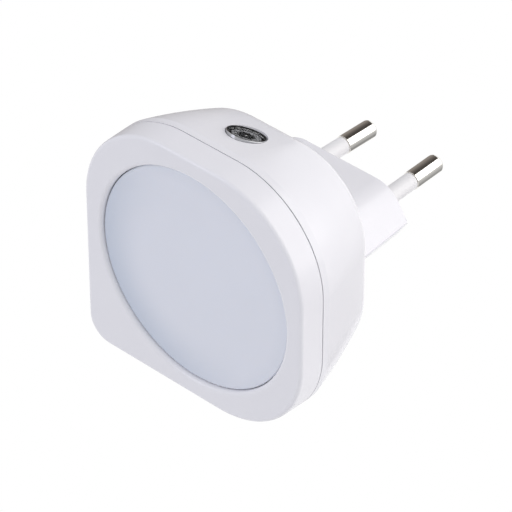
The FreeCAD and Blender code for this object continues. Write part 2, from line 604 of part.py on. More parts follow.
# Lamp board and its lamps
led_board = new_body("led_board")
round_board = new_sketch(led_board, "round_board", y="dims.plug_drop", z=LED_BOARD_BACK)
draw_circle(round_board, LED_BOARD_RADIUS)
pad(led_board, round_board, "dims.board_thickness")
board_hole = new_sketch(led_board, "led_board_hole", y="dims.plug_drop", z=BOX_BACK,
                        axis=Vector(0, 0, 1), angle="90")
draw_circle(board_hole, "dims.screw_shank / 2 + dims.screw_hole_gap", x=BOX_SCREW_X)
led_hole = pocket(led_board, board_hole, "dims.board_thickness")
repeat_round(led_board, led_hole, board_hole, BOX_SCREW_COUNT)


def place(item, x, y, level, axis=None, angle=None):
    """Put a primitive by expressions: x and height as seen from the front, and a level."""
    if axis:
        item.Placement = Placement(Vector(0, 0, 0), Rotation(axis, 1))
        item.setExpression("Placement.Rotation.Angle", angle)
    item.setExpression("Placement.Base.x", x)
    item.setExpression("Placement.Base.y", f"-({level})")
    item.setExpression("Placement.Base.z", y)


def rod(name, radius, length, x, y, level, towards_room=True):
    """A cylinder along the depth that starts at a level."""
    item = doc.addObject("Part::Cylinder", name)
    item.setExpression("Radius", radius)
    item.setExpression("Height", length)
    place(item, x, y, level, Vector(1 if towards_room else -1, 0, 0), "90")
    return item


def brick(name, width, height, length, x, y, level):
    """A box about a centre line, from a level towards the room."""
    item = doc.addObject("Part::Box", name)
    item.setExpression("Length", width)
    item.setExpression("Width", length)
    item.setExpression("Height", height)
    place(item, f"{x} - ({width}) / 2", f"{y} - ({height}) / 2", f"{level} + {length}")
    return item


def cut(name, base, tool):
    item = doc.addObject("Part::Cut", name)
    item.Base = base
    item.Tool = tool
    return item


def fuse(name, *shapes):
    item = doc.addObject("Part::MultiFuse", name)
    item.Shapes = list(shapes)
    item.Refine = True
    return item


def group(label, solids):
    item = doc.addObject("Part::Compound", label)
    item.Label = label
    item.Links = solids
    return item


LED_COUNT = 6
lamps = []
for index in range(LED_COUNT):
    turn = f"({index} * 360 / {LED_COUNT})"
    x = f"({LED_RADIUS} * cos({turn}))"
    y = f"(dims.plug_drop + {LED_RADIUS} * sin({turn}))"
    package = brick(f"led_body_{index}", "dims.led_length", "dims.led_width", "dims.led_height", x, y, BOX_BACK)
    well = rod(f"led_well_{index}", "dims.led_well", "dims.led_height", x, y,
               f"({BOX_BACK} + dims.led_floor)")
    lamps.append(cut(f"led_{index}", package, well))
led_packages = group("led_packages", lamps)


def screw(name, length, x, y, level, towards_room=True):
    """A pan head screw: the level is the underside of its head."""
    way = 1 if towards_room else -1
    head_level = f"({level} - {way} * dims.screw_head_height)"
    shank = rod(f"{name}_shank", "dims.screw_shank / 2", length, x, y, level, towards_room)
    head = rod(f"{name}_head", "dims.screw_head / 2", "dims.screw_head_height", x, y, head_level, towards_room)
    whole = fuse(f"{name}_whole", shank, head)
    low = head_level if towards_room else f"({head_level} - dims.screw_slot)"
    wide = brick(f"{name}_slot_a", "dims.screw_slot_length", "dims.screw_slot", "dims.screw_slot", x, y, low)
    tall = brick(f"{name}_slot_b", "dims.screw_slot", "dims.screw_slot_length", "dims.screw_slot", x, y, low)
    return cut(name, whole, fuse(f"{name}_cross", wide, tall))


box_screws = []
for index in range(BOX_SCREW_COUNT):
    turn = f"(90 + {index} * 360 / {BOX_SCREW_COUNT})"
    x = f"({BOX_SCREW_X} * cos({turn}))"
    y = f"(dims.plug_drop + {BOX_SCREW_X} * sin({turn}))"
    box_screws.append(screw(f"box_screw_{index}", "dims.box_screw_length", x, y, LED_BOARD_BACK))
led_board_screws = group("led_board_screws", box_screws)

# Rear housing: a straight band at the seam, crowned walls that draw in to a rounded rear,
# and the plug block in one piece with it
housing = new_body("rear_housing")
band = outline(housing, "band", SEAM, *SEAM_OUTLINE)
pad(housing, band, "dims.band_length", backwards=True)
MID_OUTLINE = (MID_HALF, MID_ROUND, MID_LOW_ROUND)
REAR_OUTLINE = (REAR_HALF, "dims.rear_corner_round", "dims.rear_low_corner_round")
walls = [outline(housing, "wall_front", BAND_END, *SEAM_OUTLINE),
         outline(housing, "wall_middle", MID, *MID_OUTLINE),
         outline(housing, "wall_rear", REAR, *REAR_OUTLINE)]
loft(housing, "PartDesign::AdditiveLoft", "crowned_walls", walls)
round_edges(housing, "rear_rounding", "dims.rear_round", at_level(REAR))
block = [block_outline(housing, "block_root", BLOCK_ROOT, spread=BLOCK_SPREAD),
         block_outline(housing, "block_face", "0")]
loft(housing, "PartDesign::AdditiveLoft", "plug_block", block, ruled=True)


def is_block_ridge(edge):
    """The plug block's two side ridges, which run from its root to its face."""
    box = edge.BoundBox
    return max(abs(box.ZMin), abs(box.YMin), abs(box.YMax)) < 1e-3 and box.ZMax > value(REAR) / 2


round_edges(housing, "block_ridges", "dims.block_ridge_round", is_block_ridge)
round_edges(housing, "block_face_edges", "dims.block_face_round", at_level("0"))

mouth = outline(housing, "mouth", SEAM, *SEAM_OUTLINE, inset="dims.shell_wall")
pocket(housing, mouth, "dims.tongue_length + dims.hook_gap")
inner_walls = [outline(housing, "inner_front", BAND_END, *SEAM_OUTLINE, inset="dims.shell_wall"),
               outline(housing, "inner_middle", MID, *MID_OUTLINE, inset="dims.shell_wall"),
               outline(housing, "inner_rear", INNER_BACK, *REAR_OUTLINE,
                       inset=f"(dims.shell_wall - dims.back_wall * {REAR_SLOPE})")]
loft(housing, "PartDesign::SubtractiveLoft", "hollow_walls", inner_walls)
round_edges(housing, "inner_rounding", "dims.rear_round - dims.shell_wall", at_level(INNER_BACK))
cavity = new_sketch(housing, "cavity", z="dims.face_wall")
draw_hexagon(cavity, CAVITY_HALF, CAVITY_TOP, CAVITY_FLAT)
pocket(housing, cavity, f"{INNER_BACK} - dims.face_wall", forwards=True)

for side, way in (("left", -1), ("right", 1)):
    before = housing.Shape.Volume
    bore = housing.newObject("PartDesign::SubtractiveCylinder", f"pin_bore_{side}")
    bore.AttachmentSupport = [(origin_plane(housing, "XY_Plane"), "")]
    bore.MapMode = "FlatFace"
    bore.AttachmentOffset = Placement(Vector(0, 0, 0), Rotation(Vector(0, way, 0), 1))
    bore.setExpression("AttachmentOffset.Rotation.Angle", PIN_TILT)
    bore.setExpression("AttachmentOffset.Base.x",
                       f"{way} * (dims.pin_spacing / 2 - dims.face_wall * tan({PIN_TILT}))")
    bore.setExpression("AttachmentOffset.Base.z", "-dims.face_wall")
    bore.setExpression("Radius", "dims.sleeve_diameter / 2 + dims.sleeve_gap")
    bore.setExpression("Height", "3 * dims.face_wall")
    settle(bore)
    if bore.Shape.Volume >= before:
        raise RuntimeError("a pin bore cuts nothing")

retainer_boss = new_sketch(housing, "retainer_boss", z="dims.face_wall")
draw_circle(retainer_boss, "dims.retainer_boss / 2")
pad(housing, retainer_boss, f"{RETAINER_BACK} - dims.face_wall")
RETAINER_BITE = "(dims.retainer_screw_length - dims.retainer_thickness + dims.pilot_spare)"
retainer_pilot = new_sketch(housing, "retainer_pilot", z=RETAINER_BACK)
draw_circle(retainer_pilot, "dims.screw_shank / 2")
pocket(housing, retainer_pilot, RETAINER_BITE)

posts = new_sketch(housing, "posts", y="dims.plug_drop", z=f"({INNER_BACK} - dims.back_wall / 2)")
pilots = new_sketch(housing, "post_pilots", y="dims.plug_drop", z=DRIVER_BACK)
for across in (-1, 1):
    for up in (-1, 1):
        draw_circle(posts, "dims.driver_post / 2", x=f"({across} * {POST_X})", y=f"({up} * {POST_Y})")
        draw_circle(pilots, "dims.screw_shank / 2", x=f"({across} * {POST_X})", y=f"({up} * {POST_Y})")
pad(housing, posts, "dims.driver_post_height + dims.back_wall / 2")
pocket(housing, pilots, "dims.driver_post_height")

CATCH_LEVEL = f"({SEAM} - dims.tongue_length - dims.hook_gap)"
catches = new_sketch(housing, "catches", y="dims.plug_drop", z=CATCH_LEVEL)
CATCH_DEPTH = "(dims.hook_reach + dims.tongue_gap)"
draw_hooks(catches, f"({TONGUE_HALF} + dims.hook_reach / 2)", CATCH_DEPTH,
           "(dims.hook_width + 2 * dims.hook_gap)")
pocket(housing, catches, "dims.hook_height + 2 * dims.hook_gap", forwards=True)


def sensor_sketch(name, depth):
    """A sketch square to the sensor's axis, a depth below the housing's top wall."""
    across = f"({SENSOR_UP} - {depth} * cos(dims.sensor_tilt))"
    along = f"({SENSOR_LEVEL} + {depth} * sin(dims.sensor_tilt))"
    return new_sketch(housing, name, y=across, z=along, axis=Vector(-1, 0, 0), angle="90 + dims.sensor_tilt")


sensor_tube = sensor_sketch("sensor_tube", "dims.sensor_seat_depth")
draw_circle(sensor_tube, "dims.sensor_boss / 2")
pad(housing, sensor_tube, f"-dims.sensor_seat_depth - {CUP_FLOOR}", backwards=True)
sensor_seat = sensor_sketch("sensor_seat", "dims.sensor_seat_depth")
draw_circle(sensor_seat, "dims.sensor_ring_outer / 2 + dims.sensor_gap")
pocket(housing, sensor_seat, "3 * dims.sensor_seat_depth", forwards=True)
sensor_bore = sensor_sketch("sensor_bore", "0")
draw_circle(sensor_bore, f"{CUP_RADIUS} + dims.sensor_gap")
pocket(housing, sensor_bore, f"-{CUP_BASE}")

# Light sensor: a trim ring, a clear window, a black cup and the photocell with its leads


def sensor_body(label):
    """A body whose z axis is the sensor's, with z = 0 on the housing's top wall."""
    body = new_body(label)
    body.Placement = Placement(Vector(0, 0, 0), Rotation(Vector(-1, 0, 0), 1))
    body.setExpression("Placement.Rotation.Angle", "dims.sensor_tilt")
    body.setExpression("Placement.Base.y", f"-{SENSOR_LEVEL}")
    body.setExpression("Placement.Base.z", SENSOR_UP)
    return body


def turned(label, points):
    """A round piece of the sensor: its half section, as radius and height."""
    body = sensor_body(label)
    section = new_sketch(body, f"{label}_section", role="XZ_Plane")
    draw_polygon(section, points)
    revolve(body, section)
    return body


RING_BASE = "-dims.sensor_seat_depth"
sensor_ring = turned("sensor_ring", [
    ("dims.sensor_ring_inner / 2", RING_BASE),
    ("dims.sensor_ring_outer / 2", RING_BASE),
    ("dims.sensor_ring_outer / 2", "dims.sensor_ring_proud"),
    ("dims.sensor_ring_inner / 2", "dims.sensor_ring_proud"),
])
round_edges(sensor_ring, "ring_edges", "dims.sensor_ring_round", at_level("dims.sensor_ring_proud"))

WINDOW_TOP = f"({RING_BASE} + dims.sensor_window_thickness)"
sensor_window = turned("sensor_window", [
    ("0", RING_BASE), (CUP_RADIUS, RING_BASE), (CUP_RADIUS, WINDOW_TOP), ("0", WINDOW_TOP)])

CELL_RADIUS = "(dims.cell_diameter / 2)"
CUP_BORE = f"({CELL_RADIUS} + dims.sensor_gap)"
sensor_cup = turned("sensor_cup", [
    ("0", CUP_BASE),
    ("dims.sensor_cup_flange / 2", CUP_BASE),
    ("dims.sensor_cup_flange / 2", CUP_FLOOR),
    (CUP_RADIUS, CUP_FLOOR),
    (CUP_RADIUS, RING_BASE),
    (CUP_BORE, RING_BASE),
    (CUP_BORE, CUP_FLOOR),
    ("0", CUP_FLOOR),
])
lead_holes = new_sketch(sensor_cup, "lead_holes", z=CUP_FLOOR)
for way in (-1, 1):
    draw_circle(lead_holes, "dims.cell_lead_diameter / 2 + dims.sensor_gap",
                x=f"({way} * dims.cell_lead_spacing / 2)")
pocket(sensor_cup, lead_holes, "dims.sensor_cup_floor")

LENS_BASE = f"({CELL_TOP} - dims.cell_lens_height)"
LENS_BORE = "(dims.cell_lens / 2 + dims.sensor_gap)"
photocell = turned("photocell", [
    ("0", CELL_BASE), (CELL_RADIUS, CELL_BASE), (CELL_RADIUS, f"({CELL_TOP} - dims.cell_shoulder)"),
    (f"({CELL_RADIUS} - dims.cell_shoulder)", CELL_TOP), (LENS_BORE, CELL_TOP), (LENS_BORE, LENS_BASE),
    ("0", LENS_BASE)])

photocell_lens = sensor_body("photocell_lens")
lens_disc = new_sketch(photocell_lens, "lens_disc", z=LENS_BASE)
draw_circle(lens_disc, "dims.cell_lens / 2")
pad(photocell_lens, lens_disc, "dims.cell_lens_height")
round_edges(photocell_lens, "lens_edge", "dims.cell_lens_round", at_level(CELL_TOP))


# Pins, their insulating sleeves and the plate that holds their collars down
def pin_body(label, way):
    """A body whose y axis is a pin's axis; both pins lean in towards their tips."""
    body = doc.addObject("PartDesign::Body", label)
    body.Label = label
    body.Placement = Placement(Vector(0, 0, 0), Rotation(Vector(0, 0, way), 1))
    body.setExpression("Placement.Rotation.Angle", PIN_TILT)
    body.setExpression("Placement.Base.x", f"{way} * dims.pin_spacing / 2")
    return body


def is_tip(edge):
    return edge.BoundBox.YMin > value("dims.pin_length") - 1e-3 and edge.BoundBox.XLength > 1


def is_sleeve_end(edge):
    """The outer edge at the sleeve's free end."""
    radius = value("dims.sleeve_diameter / 2")
    return edge.BoundBox.YMin > value("dims.sleeve_length") - 1e-3 and edge.BoundBox.XMax > radius - 1e-3


for side, way in (("left", -1), ("right", 1)):
    pin = pin_body(f"plug_pin_{side}", way)
    half_section = new_sketch(pin, f"pin_{side}_section")
    draw_polygon(half_section, [
        ("0", "-dims.pin_tail"),
        ("dims.pin_tail_diameter / 2", "-dims.pin_tail"),
        ("dims.pin_tail_diameter / 2", f"-{COLLAR_TOP}"),
        ("dims.collar_diameter / 2", f"-{COLLAR_TOP}"),
        ("dims.collar_diameter / 2", f"-{COLLAR_BACK}"),
        ("dims.pin_core / 2", f"-{COLLAR_BACK}"),
        ("dims.pin_core / 2", "dims.sleeve_length"),
        ("dims.pin_diameter / 2", "dims.sleeve_length"),
        ("dims.pin_diameter / 2", "dims.pin_length"),
        ("0", "dims.pin_length"),
    ])
    revolve(pin, half_section)
    round_edges(pin, f"pin_{side}_tip", "dims.pin_tip_round", is_tip)

    sleeve = pin_body(f"pin_sleeve_{side}", way)
    tube = new_sketch(sleeve, f"sleeve_{side}_section")
    draw_polygon(tube, [
        ("dims.pin_core / 2", f"-{COLLAR_BACK}"),
        ("dims.sleeve_diameter / 2", f"-{COLLAR_BACK}"),
        ("dims.sleeve_diameter / 2", "dims.sleeve_length"),
        ("dims.pin_core / 2", "dims.sleeve_length"),
    ])
    revolve(sleeve, tube)
    round_edges(sleeve, f"sleeve_{side}_end", "dims.sleeve_end_round", is_sleeve_end)

retainer = new_body("pin_retainer")
plate = new_sketch(retainer, "plate", z=RETAINER_BACK)
draw_hexagon(plate, f"({CAVITY_HALF} - 2 * dims.retainer_gap)", f"({CAVITY_TOP} - dims.retainer_gap)",
             f"({CAVITY_FLAT} - dims.retainer_gap / 2)")
pad(retainer, plate, "dims.retainer_thickness")
plate_holes = new_sketch(retainer, "plate_holes", z=RETAINER_TOP)
draw_circle(plate_holes, "dims.screw_shank / 2 + dims.screw_hole_gap")
for way in (-1, 1):
    draw_circle(plate_holes, "dims.pin_tail_diameter / 2 + dims.retainer_bore_gap",
                x=f"({way} * (dims.pin_spacing / 2 + {RETAINER_TOP} * tan({PIN_TILT})))")
pocket(retainer, plate_holes, "dims.retainer_thickness")
retainer_screw = screw("pin_retainer_screw", "dims.retainer_screw_length", "0", "0", RETAINER_TOP,
                       towards_room=False)

# Bent wires and leads: straight runs joined by tangent arcs
BEND_SHARE = 0.45


def wire(label, points, diameter):
    """A round wire through points; each bend takes a share of its shorter run."""
    edges = []
    start = points[0]
    for before, corner, after in zip(points, points[1:], points[2:]):
        arriving, leaving = corner - before, after - corner
        turn = arriving.getAngle(leaving)
        reach = BEND_SHARE * min(arriving.Length, leaving.Length)
        radius = reach / math.tan(turn / 2)
        print(f"{label}: bend radius {radius:.2f}")
        arriving.normalize()
        leaving.normalize()
        first = corner - arriving * reach
        last = corner + leaving * reach
        inward = leaving - arriving
        inward.normalize()
        centre_distance = math.hypot(radius, reach)
        middle = corner + inward * (centre_distance - radius)
        edges.append(Part.LineSegment(start, first).toShape())
        edges.append(Part.Arc(first, middle, last).toShape())
        start = last
    edges.append(Part.LineSegment(start, points[-1]).toShape())
    path = Part.Wire(edges)
    heading = points[1] - points[0]
    section = Part.Wire(Part.makeCircle(diameter / 2, points[0], heading))
    solid = path.makePipeShell([section], True, True)
    item = doc.addObject("Part::Feature", label)
    item.Label = label
    item.Shape = solid
    return item


def spot(x, y, level):
    """A point given as seen from the front."""
    return Vector(value(x), -value(level), value(y))


# Driver board and its parts
driver = new_body("driver_board")
card = new_sketch(driver, "card", y="dims.plug_drop", z=DRIVER_BACK)
draw_rectangle(card, f"2 * {DRIVER_SIDE}", f"2 * {DRIVER_END}")
pad(driver, card, "dims.board_thickness")
round_edges(driver, "card_corners", "dims.driver_corner", lambda edge: edge.BoundBox.ZLength > 1)
card_holes = new_sketch(driver, "card_holes", y="dims.plug_drop", z=DRIVER_FRONT)
for across in (-1, 1):
    for up in (-1, 1):
        draw_circle(card_holes, "dims.screw_shank / 2 + dims.screw_hole_gap",
                    x=f"({across} * {POST_X})", y=f"({up} * {POST_Y})")
pocket(driver, card_holes, "dims.board_thickness")

card_screws = []
for index, (across, up) in enumerate(((-1, -1), (1, -1), (1, 1), (-1, 1))):
    card_screws.append(screw(f"card_screw_{index}", "dims.driver_screw_length", f"({across} * {POST_X})",
                             f"(dims.plug_drop + {up} * {POST_Y})", DRIVER_FRONT, towards_room=False))
driver_board_screws = group("driver_board_screws", card_screws)

PART_LEVEL = f"({DRIVER_FRONT} + dims.solder_gap)"


def moulded_block(label, width, height, length, x, y):
    """A moulded part with rounded edges, seated on the front of the driver board."""
    body = new_body(label)
    base = new_sketch(body, f"{label}_base", y="dims.plug_drop", z=PART_LEVEL)
    draw_rectangle(base, width, height, x=x, y=y)
    pad(body, base, length)
    round_edges(body, f"{label}_edges", "dims.part_edge_round",
                lambda edge: edge.BoundBox.ZMax > value(PART_LEVEL) + 0.01)
    return body


CAPACITOR_X = f"(dims.capacitor_length / 2 + dims.part_side_space - {DRIVER_SIDE})"
CAPACITOR_Y = "0"
moulded_block("film_capacitor", "dims.capacitor_length", "dims.capacitor_width", "dims.capacitor_height",
              CAPACITOR_X, CAPACITOR_Y)

CAN_X = f"({DRIVER_SIDE} - dims.electrolytic_diameter / 2 - dims.part_side_space)"
can = new_body("electrolytic_capacitor")
can_base = new_sketch(can, "can_base", y="dims.plug_drop", z=PART_LEVEL)
draw_circle(can_base, "dims.electrolytic_diameter / 2", x=CAN_X)
pad(can, can_base, "dims.electrolytic_height")
round_edges(can, "can_edge", "dims.part_edge_round", at_level(f"{PART_LEVEL} + dims.electrolytic_height"))

BRIDGE_X = f"({CAPACITOR_X} + dims.capacitor_length / 2 + dims.bridge_length / 2 + dims.part_space)"
bridge_body = brick("bridge_body", "dims.bridge_length", "dims.bridge_width", "dims.bridge_height",
                    BRIDGE_X, "dims.plug_drop", PART_LEVEL)
bridge_legs = []
for index, (across, up) in enumerate(((-1, -1), (1, -1), (1, 1), (-1, 1))):
    x = f"({BRIDGE_X} + {across} * dims.bridge_leg_pitch / 2)"
    y = f"(dims.plug_drop + {up} * (dims.bridge_width / 2 + dims.lead_diameter / 2))"
    bridge_legs.append(brick(f"bridge_leg_{index}", "dims.lead_diameter", "dims.lead_diameter * 2",
                             "dims.bridge_height / 2", x, y, PART_LEVEL))
bridge = fuse("bridge_rectifier", bridge_body, *bridge_legs)

# Fusible resistor lying along the lower edge of the board, on its two bent leads
FUSE_Y = f"(dims.plug_drop - {DRIVER_END} + dims.fuse_diameter / 2 + dims.part_end_space)"
FUSE_LEVEL = f"({PART_LEVEL} + dims.fuse_diameter / 2 + dims.solder_gap)"


def lying_rod(name, radius, length, x, y, level):
    """A cylinder along the width, about a middle point."""
    item = doc.addObject("Part::Cylinder", name)
    item.setExpression("Radius", radius)
    item.setExpression("Height", length)
    place(item, f"{x} - ({length}) / 2", y, level, Vector(0, 1, 0), "90")
    return item


fuse_body = lying_rod("fuse_body", "dims.fuse_diameter / 2", "dims.fuse_length", "0", FUSE_Y, FUSE_LEVEL)
LEG_X = "(dims.fuse_length / 2 + 3 * dims.lead_diameter)"
fuse_route = [spot(f"(-{LEG_X})", FUSE_Y, PART_LEVEL), spot(f"(-{LEG_X})", FUSE_Y, FUSE_LEVEL),
              spot(LEG_X, FUSE_Y, FUSE_LEVEL), spot(LEG_X, FUSE_Y, PART_LEVEL)]
fuse_lead = wire("fuse_lead", fuse_route, value("dims.lead_diameter"))
fusible_resistor = fuse("fusible_resistor", fuse_body, fuse_lead)

CHIP_COUNT = 3
CHIP_Y = f"(dims.plug_drop + {DRIVER_END} - dims.chip_length / 2 - dims.part_end_space)"
chips = []
for index in range(CHIP_COUNT):
    x = f"(-{POST_X} + dims.screw_head / 2 + dims.chip_width + {index} * dims.chip_pitch)"
    chips.append(brick(f"chip_{index}", "dims.chip_width", "dims.chip_length", "dims.chip_height",
                       x, CHIP_Y, PART_LEVEL))
chip_resistors = group("chip_resistors", chips)

# Switching transistor: a half round body on three legs
TRANSISTOR_X = f"({BRIDGE_X} + dims.transistor_diameter)"
TRANSISTOR_Y = f"(dims.plug_drop - {DRIVER_END} / 2 - dims.part_end_space)"
TRANSISTOR_LEVEL = f"({PART_LEVEL} + dims.transistor_lift)"
round_body = rod("transistor_round", "dims.transistor_diameter / 2", "dims.transistor_height",
                 TRANSISTOR_X, TRANSISTOR_Y, TRANSISTOR_LEVEL)
flat_side = brick("transistor_flat", "2 * dims.transistor_diameter", "dims.transistor_diameter",
                  "2 * dims.transistor_height", TRANSISTOR_X,
                  f"({TRANSISTOR_Y} - dims.transistor_flat - dims.transistor_diameter / 2)",
                  TRANSISTOR_LEVEL)
transistor_body = cut("transistor_body", round_body, flat_side)
transistor_legs = []
for place_along in (-1, 0, 1):
    x = f"({TRANSISTOR_X} + {place_along} * dims.transistor_leg_pitch)"
    transistor_legs.append(brick(f"transistor_leg_{place_along + 1}", "dims.transistor_leg",
                                 "dims.transistor_leg", "dims.transistor_lift + dims.transistor_leg",
                                 x, TRANSISTOR_Y, PART_LEVEL))
transistor = fuse("switching_transistor", transistor_body, *transistor_legs)


# Wires inside the case
WIRE_END = f"({DRIVER_BACK} - dims.solder_gap)"
PIN_END = "(dims.pin_tail + dims.solder_gap)"
WIRE_Y = "(dims.plug_drop + dims.wire_rise)"
WIRE_MIDDLE = f"(({PIN_END} + {WIRE_END}) / 2)"
for label, way in (("live_wire", -1), ("neutral_wire", 1)):
    pin_x = f"({way} * (dims.pin_spacing / 2 + dims.pin_tail * tan({PIN_TILT})))"
    board_x = f"({way} * (dims.pin_spacing / 2 - dims.wire_inset))"
    route = [spot(pin_x, "0", PIN_END),
             spot(pin_x, "0", f"({WIRE_MIDDLE} - dims.wire_slant / 2)"),
             spot(board_x, WIRE_Y, f"({WIRE_MIDDLE} + dims.wire_slant / 2)"),
             spot(board_x, WIRE_Y, WIRE_END)]
    wire(label, route, value("dims.wire_diameter"))

LAMP_WIRE_START = f"({DRIVER_FRONT} + dims.solder_gap)"
LAMP_WIRE_END = f"({LED_BOARD_BACK} - dims.solder_gap)"
LAMP_WIRE_THIRD = f"(({LAMP_WIRE_END} - {LAMP_WIRE_START}) / 3)"
for label, order in (("lamp_wire_positive", 0), ("lamp_wire_negative", 1)):
    start_x = f"({DRIVER_SIDE} - dims.lamp_wire_inset - {order} * dims.lamp_wire_pitch)"
    end_x = f"({start_x} + dims.lamp_wire_step)"
    start_y = f"(dims.plug_drop + {DRIVER_END} - dims.lamp_wire_drop)"
    end_y = f"({start_y} - dims.lamp_wire_fall)"
    route = [spot(start_x, start_y, LAMP_WIRE_START),
             spot(start_x, start_y, f"({LAMP_WIRE_START} + {LAMP_WIRE_THIRD})"),
             spot(end_x, end_y, f"({LAMP_WIRE_END} - {LAMP_WIRE_THIRD})"),
             spot(end_x, end_y, LAMP_WIRE_END)]
    wire(label, route, value("dims.lamp_wire_diameter"))

# Photocell leads: out of the cup's floor, then down to the upper edge of the driver board


def below_sensor(x, depth):
    """A point a depth below the housing's top wall, along the sensor's axis."""
    return spot(x, f"({SENSOR_UP} - {depth} * cos(dims.sensor_tilt))",
                f"({SENSOR_LEVEL} + {depth} * sin(dims.sensor_tilt))")


leads = []
LEAD_END_Y = f"(dims.plug_drop + {DRIVER_END} - dims.cell_lead_inset)"
for side, way in (("left", -1), ("right", 1)):
    x = f"({way} * dims.cell_lead_spacing / 2)"
    route = [below_sensor(x, f"(dims.solder_gap - {CELL_BASE})"),
             below_sensor(x, f"(dims.cell_lead_run - {CUP_BASE})"),
             spot(x, f"({LEAD_END_Y} + dims.cell_lead_slant)", f"({DRIVER_FRONT} + dims.cell_lead_rise)"),
             spot(x, LEAD_END_Y, f"({DRIVER_FRONT} + dims.solder_gap)")]
    leads.append(wire(f"photocell_lead_{side}", route, value("dims.cell_lead_diameter")))
photocell_leads = group("photocell_leads", leads)

# Check every object, then write each piece to its own file
doc.recompute()
NODES = [
    "front_bezel", "diffuser", "light_box", "led_board", "led_packages", "led_board_screws",
    "rear_housing", "sensor_ring", "sensor_window", "sensor_cup", "photocell", "photocell_lens",
    "photocell_leads", "plug_pin_left", "plug_pin_right", "pin_sleeve_left", "pin_sleeve_right",
    "pin_retainer", "pin_retainer_screw", "driver_board", "driver_board_screws", "film_capacitor",
    "electrolytic_capacitor", "bridge_rectifier", "fusible_resistor", "chip_resistors",
    "switching_transistor", "live_wire", "neutral_wire", "lamp_wire_positive", "lamp_wire_negative",
]
for item in doc.Objects:
    if "Invalid" in item.State or "Error" in item.State:
        raise RuntimeError(f"{item.Name} is in state {item.State}")
pieces = {name: doc.getObjectsByLabel(name)[0] for name in NODES}
for name, piece in pieces.items():
    if piece.Shape.isNull() or not piece.Shape.isValid():
        raise RuntimeError(f"{name} is not a valid shape")
os.makedirs("parts", exist_ok=True)
for name, piece in pieces.items():
    piece.Shape.exportStep(f"parts/{name}.step")
    box = piece.Shape.BoundBox
    print(f"{name}: {len(piece.Shape.Solids)} solid, {piece.Shape.Volume:.1f} mm3,"
          f" {box.XLength:.2f} x {box.YLength:.2f} x {box.ZLength:.2f}")
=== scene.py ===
# %% [markdown]
# A small plug-in night light, dressed for its picture.
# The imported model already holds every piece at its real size, so this lesson loads it as a
# fixed frame and never moves it. What is left to do is the camera, the light and the finishes.

# %% Load the frame
import math

import bmesh
import bpy
from mathutils import Matrix, Vector


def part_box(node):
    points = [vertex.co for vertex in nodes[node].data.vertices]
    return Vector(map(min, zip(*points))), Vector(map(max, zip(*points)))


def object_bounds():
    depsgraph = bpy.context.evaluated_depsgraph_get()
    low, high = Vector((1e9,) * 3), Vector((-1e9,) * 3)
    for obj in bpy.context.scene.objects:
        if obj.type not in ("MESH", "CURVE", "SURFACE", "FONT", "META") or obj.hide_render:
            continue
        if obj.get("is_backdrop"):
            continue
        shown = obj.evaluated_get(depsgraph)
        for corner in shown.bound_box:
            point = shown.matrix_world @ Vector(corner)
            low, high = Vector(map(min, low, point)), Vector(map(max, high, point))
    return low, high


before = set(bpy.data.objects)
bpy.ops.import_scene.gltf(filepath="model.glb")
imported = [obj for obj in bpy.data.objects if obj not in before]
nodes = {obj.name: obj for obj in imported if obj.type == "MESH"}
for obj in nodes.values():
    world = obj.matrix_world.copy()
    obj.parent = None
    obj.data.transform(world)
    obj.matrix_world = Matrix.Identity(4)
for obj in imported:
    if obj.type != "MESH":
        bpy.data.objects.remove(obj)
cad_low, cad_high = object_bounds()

print("pieces in the frame:", len(nodes))

# %% [markdown]
# The frame's origin is the middle of the plug's engagement face. A few places are read from the
# pieces themselves, so that the finishes stay on them if a size changes: the middle of the lit
# face, the radius of the opal disc and the middle of the light sensor on the top wall.

# %% Places on the object
MM = 0.001
SENSOR_LEAN = math.radians(24.5)


def middle_of(name):
    low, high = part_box(name)
    return (Vector(low) + Vector(high)) / 2


bezel_low, bezel_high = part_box("front_bezel")
opal_low, opal_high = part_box("diffuser")
front_centre = Vector(((bezel_low.x + bezel_high.x) / 2, bezel_low.y,
                       (bezel_low.z + bezel_high.z) / 2))
opal_radius = (opal_high.x - opal_low.x) / 2
sensor_centre = middle_of("sensor_window")
print("front centre:", [round(value, 4) for value in front_centre])
print("opal flange radius:", round(opal_radius, 4))
print("sensor:", [round(value, 4) for value in sensor_centre])

# %% [markdown]
# The picture was taken with a long lens from the right and above. Turning the camera by an
# azimuth and an elevation keeps its roll at zero, and the front face's middle is the point that
# the distance is counted from. The lens and the sensor width give the field of view.

# %% Camera
CAMERA_AZIMUTH = math.radians(42.67)
CAMERA_ELEVATION = math.radians(37.77)
CAMERA_DISTANCE = 682.3 * MM
CAMERA_RIGHT = 12.46 * MM
CAMERA_UP = 4.75 * MM
LENS_MM = 250
SENSOR_MM = 36

right = Vector((math.cos(CAMERA_AZIMUTH), math.sin(CAMERA_AZIMUTH), 0))
back = Vector((math.sin(CAMERA_AZIMUTH) * math.cos(CAMERA_ELEVATION),
               -math.cos(CAMERA_AZIMUTH) * math.cos(CAMERA_ELEVATION),
               math.sin(CAMERA_ELEVATION)))
up = back.cross(right)

camera_data = bpy.data.cameras.new("camera")
camera_data.lens = LENS_MM
camera_data.sensor_width = SENSOR_MM
camera_data.clip_start = 0.01
camera_data.clip_end = 20
camera = bpy.data.objects.new("camera", camera_data)
bpy.context.scene.collection.objects.link(camera)
place = front_centre + right * CAMERA_RIGHT + up * CAMERA_UP + back * CAMERA_DISTANCE
camera.matrix_world = Matrix((right, up, back)).transposed().to_4x4()
camera.location = place
bpy.context.scene.camera = camera
bpy.context.scene.view_settings.view_transform = "Standard"
print("camera at", [round(value, 3) for value in place])

# %% [markdown]
# The light stands clear of everything, as it does in a wall socket. The background has to be
# white in the picture without pouring light on the object, so the world answers camera, mirror
# and glass rays with plain white, and the rays that carry light with less.

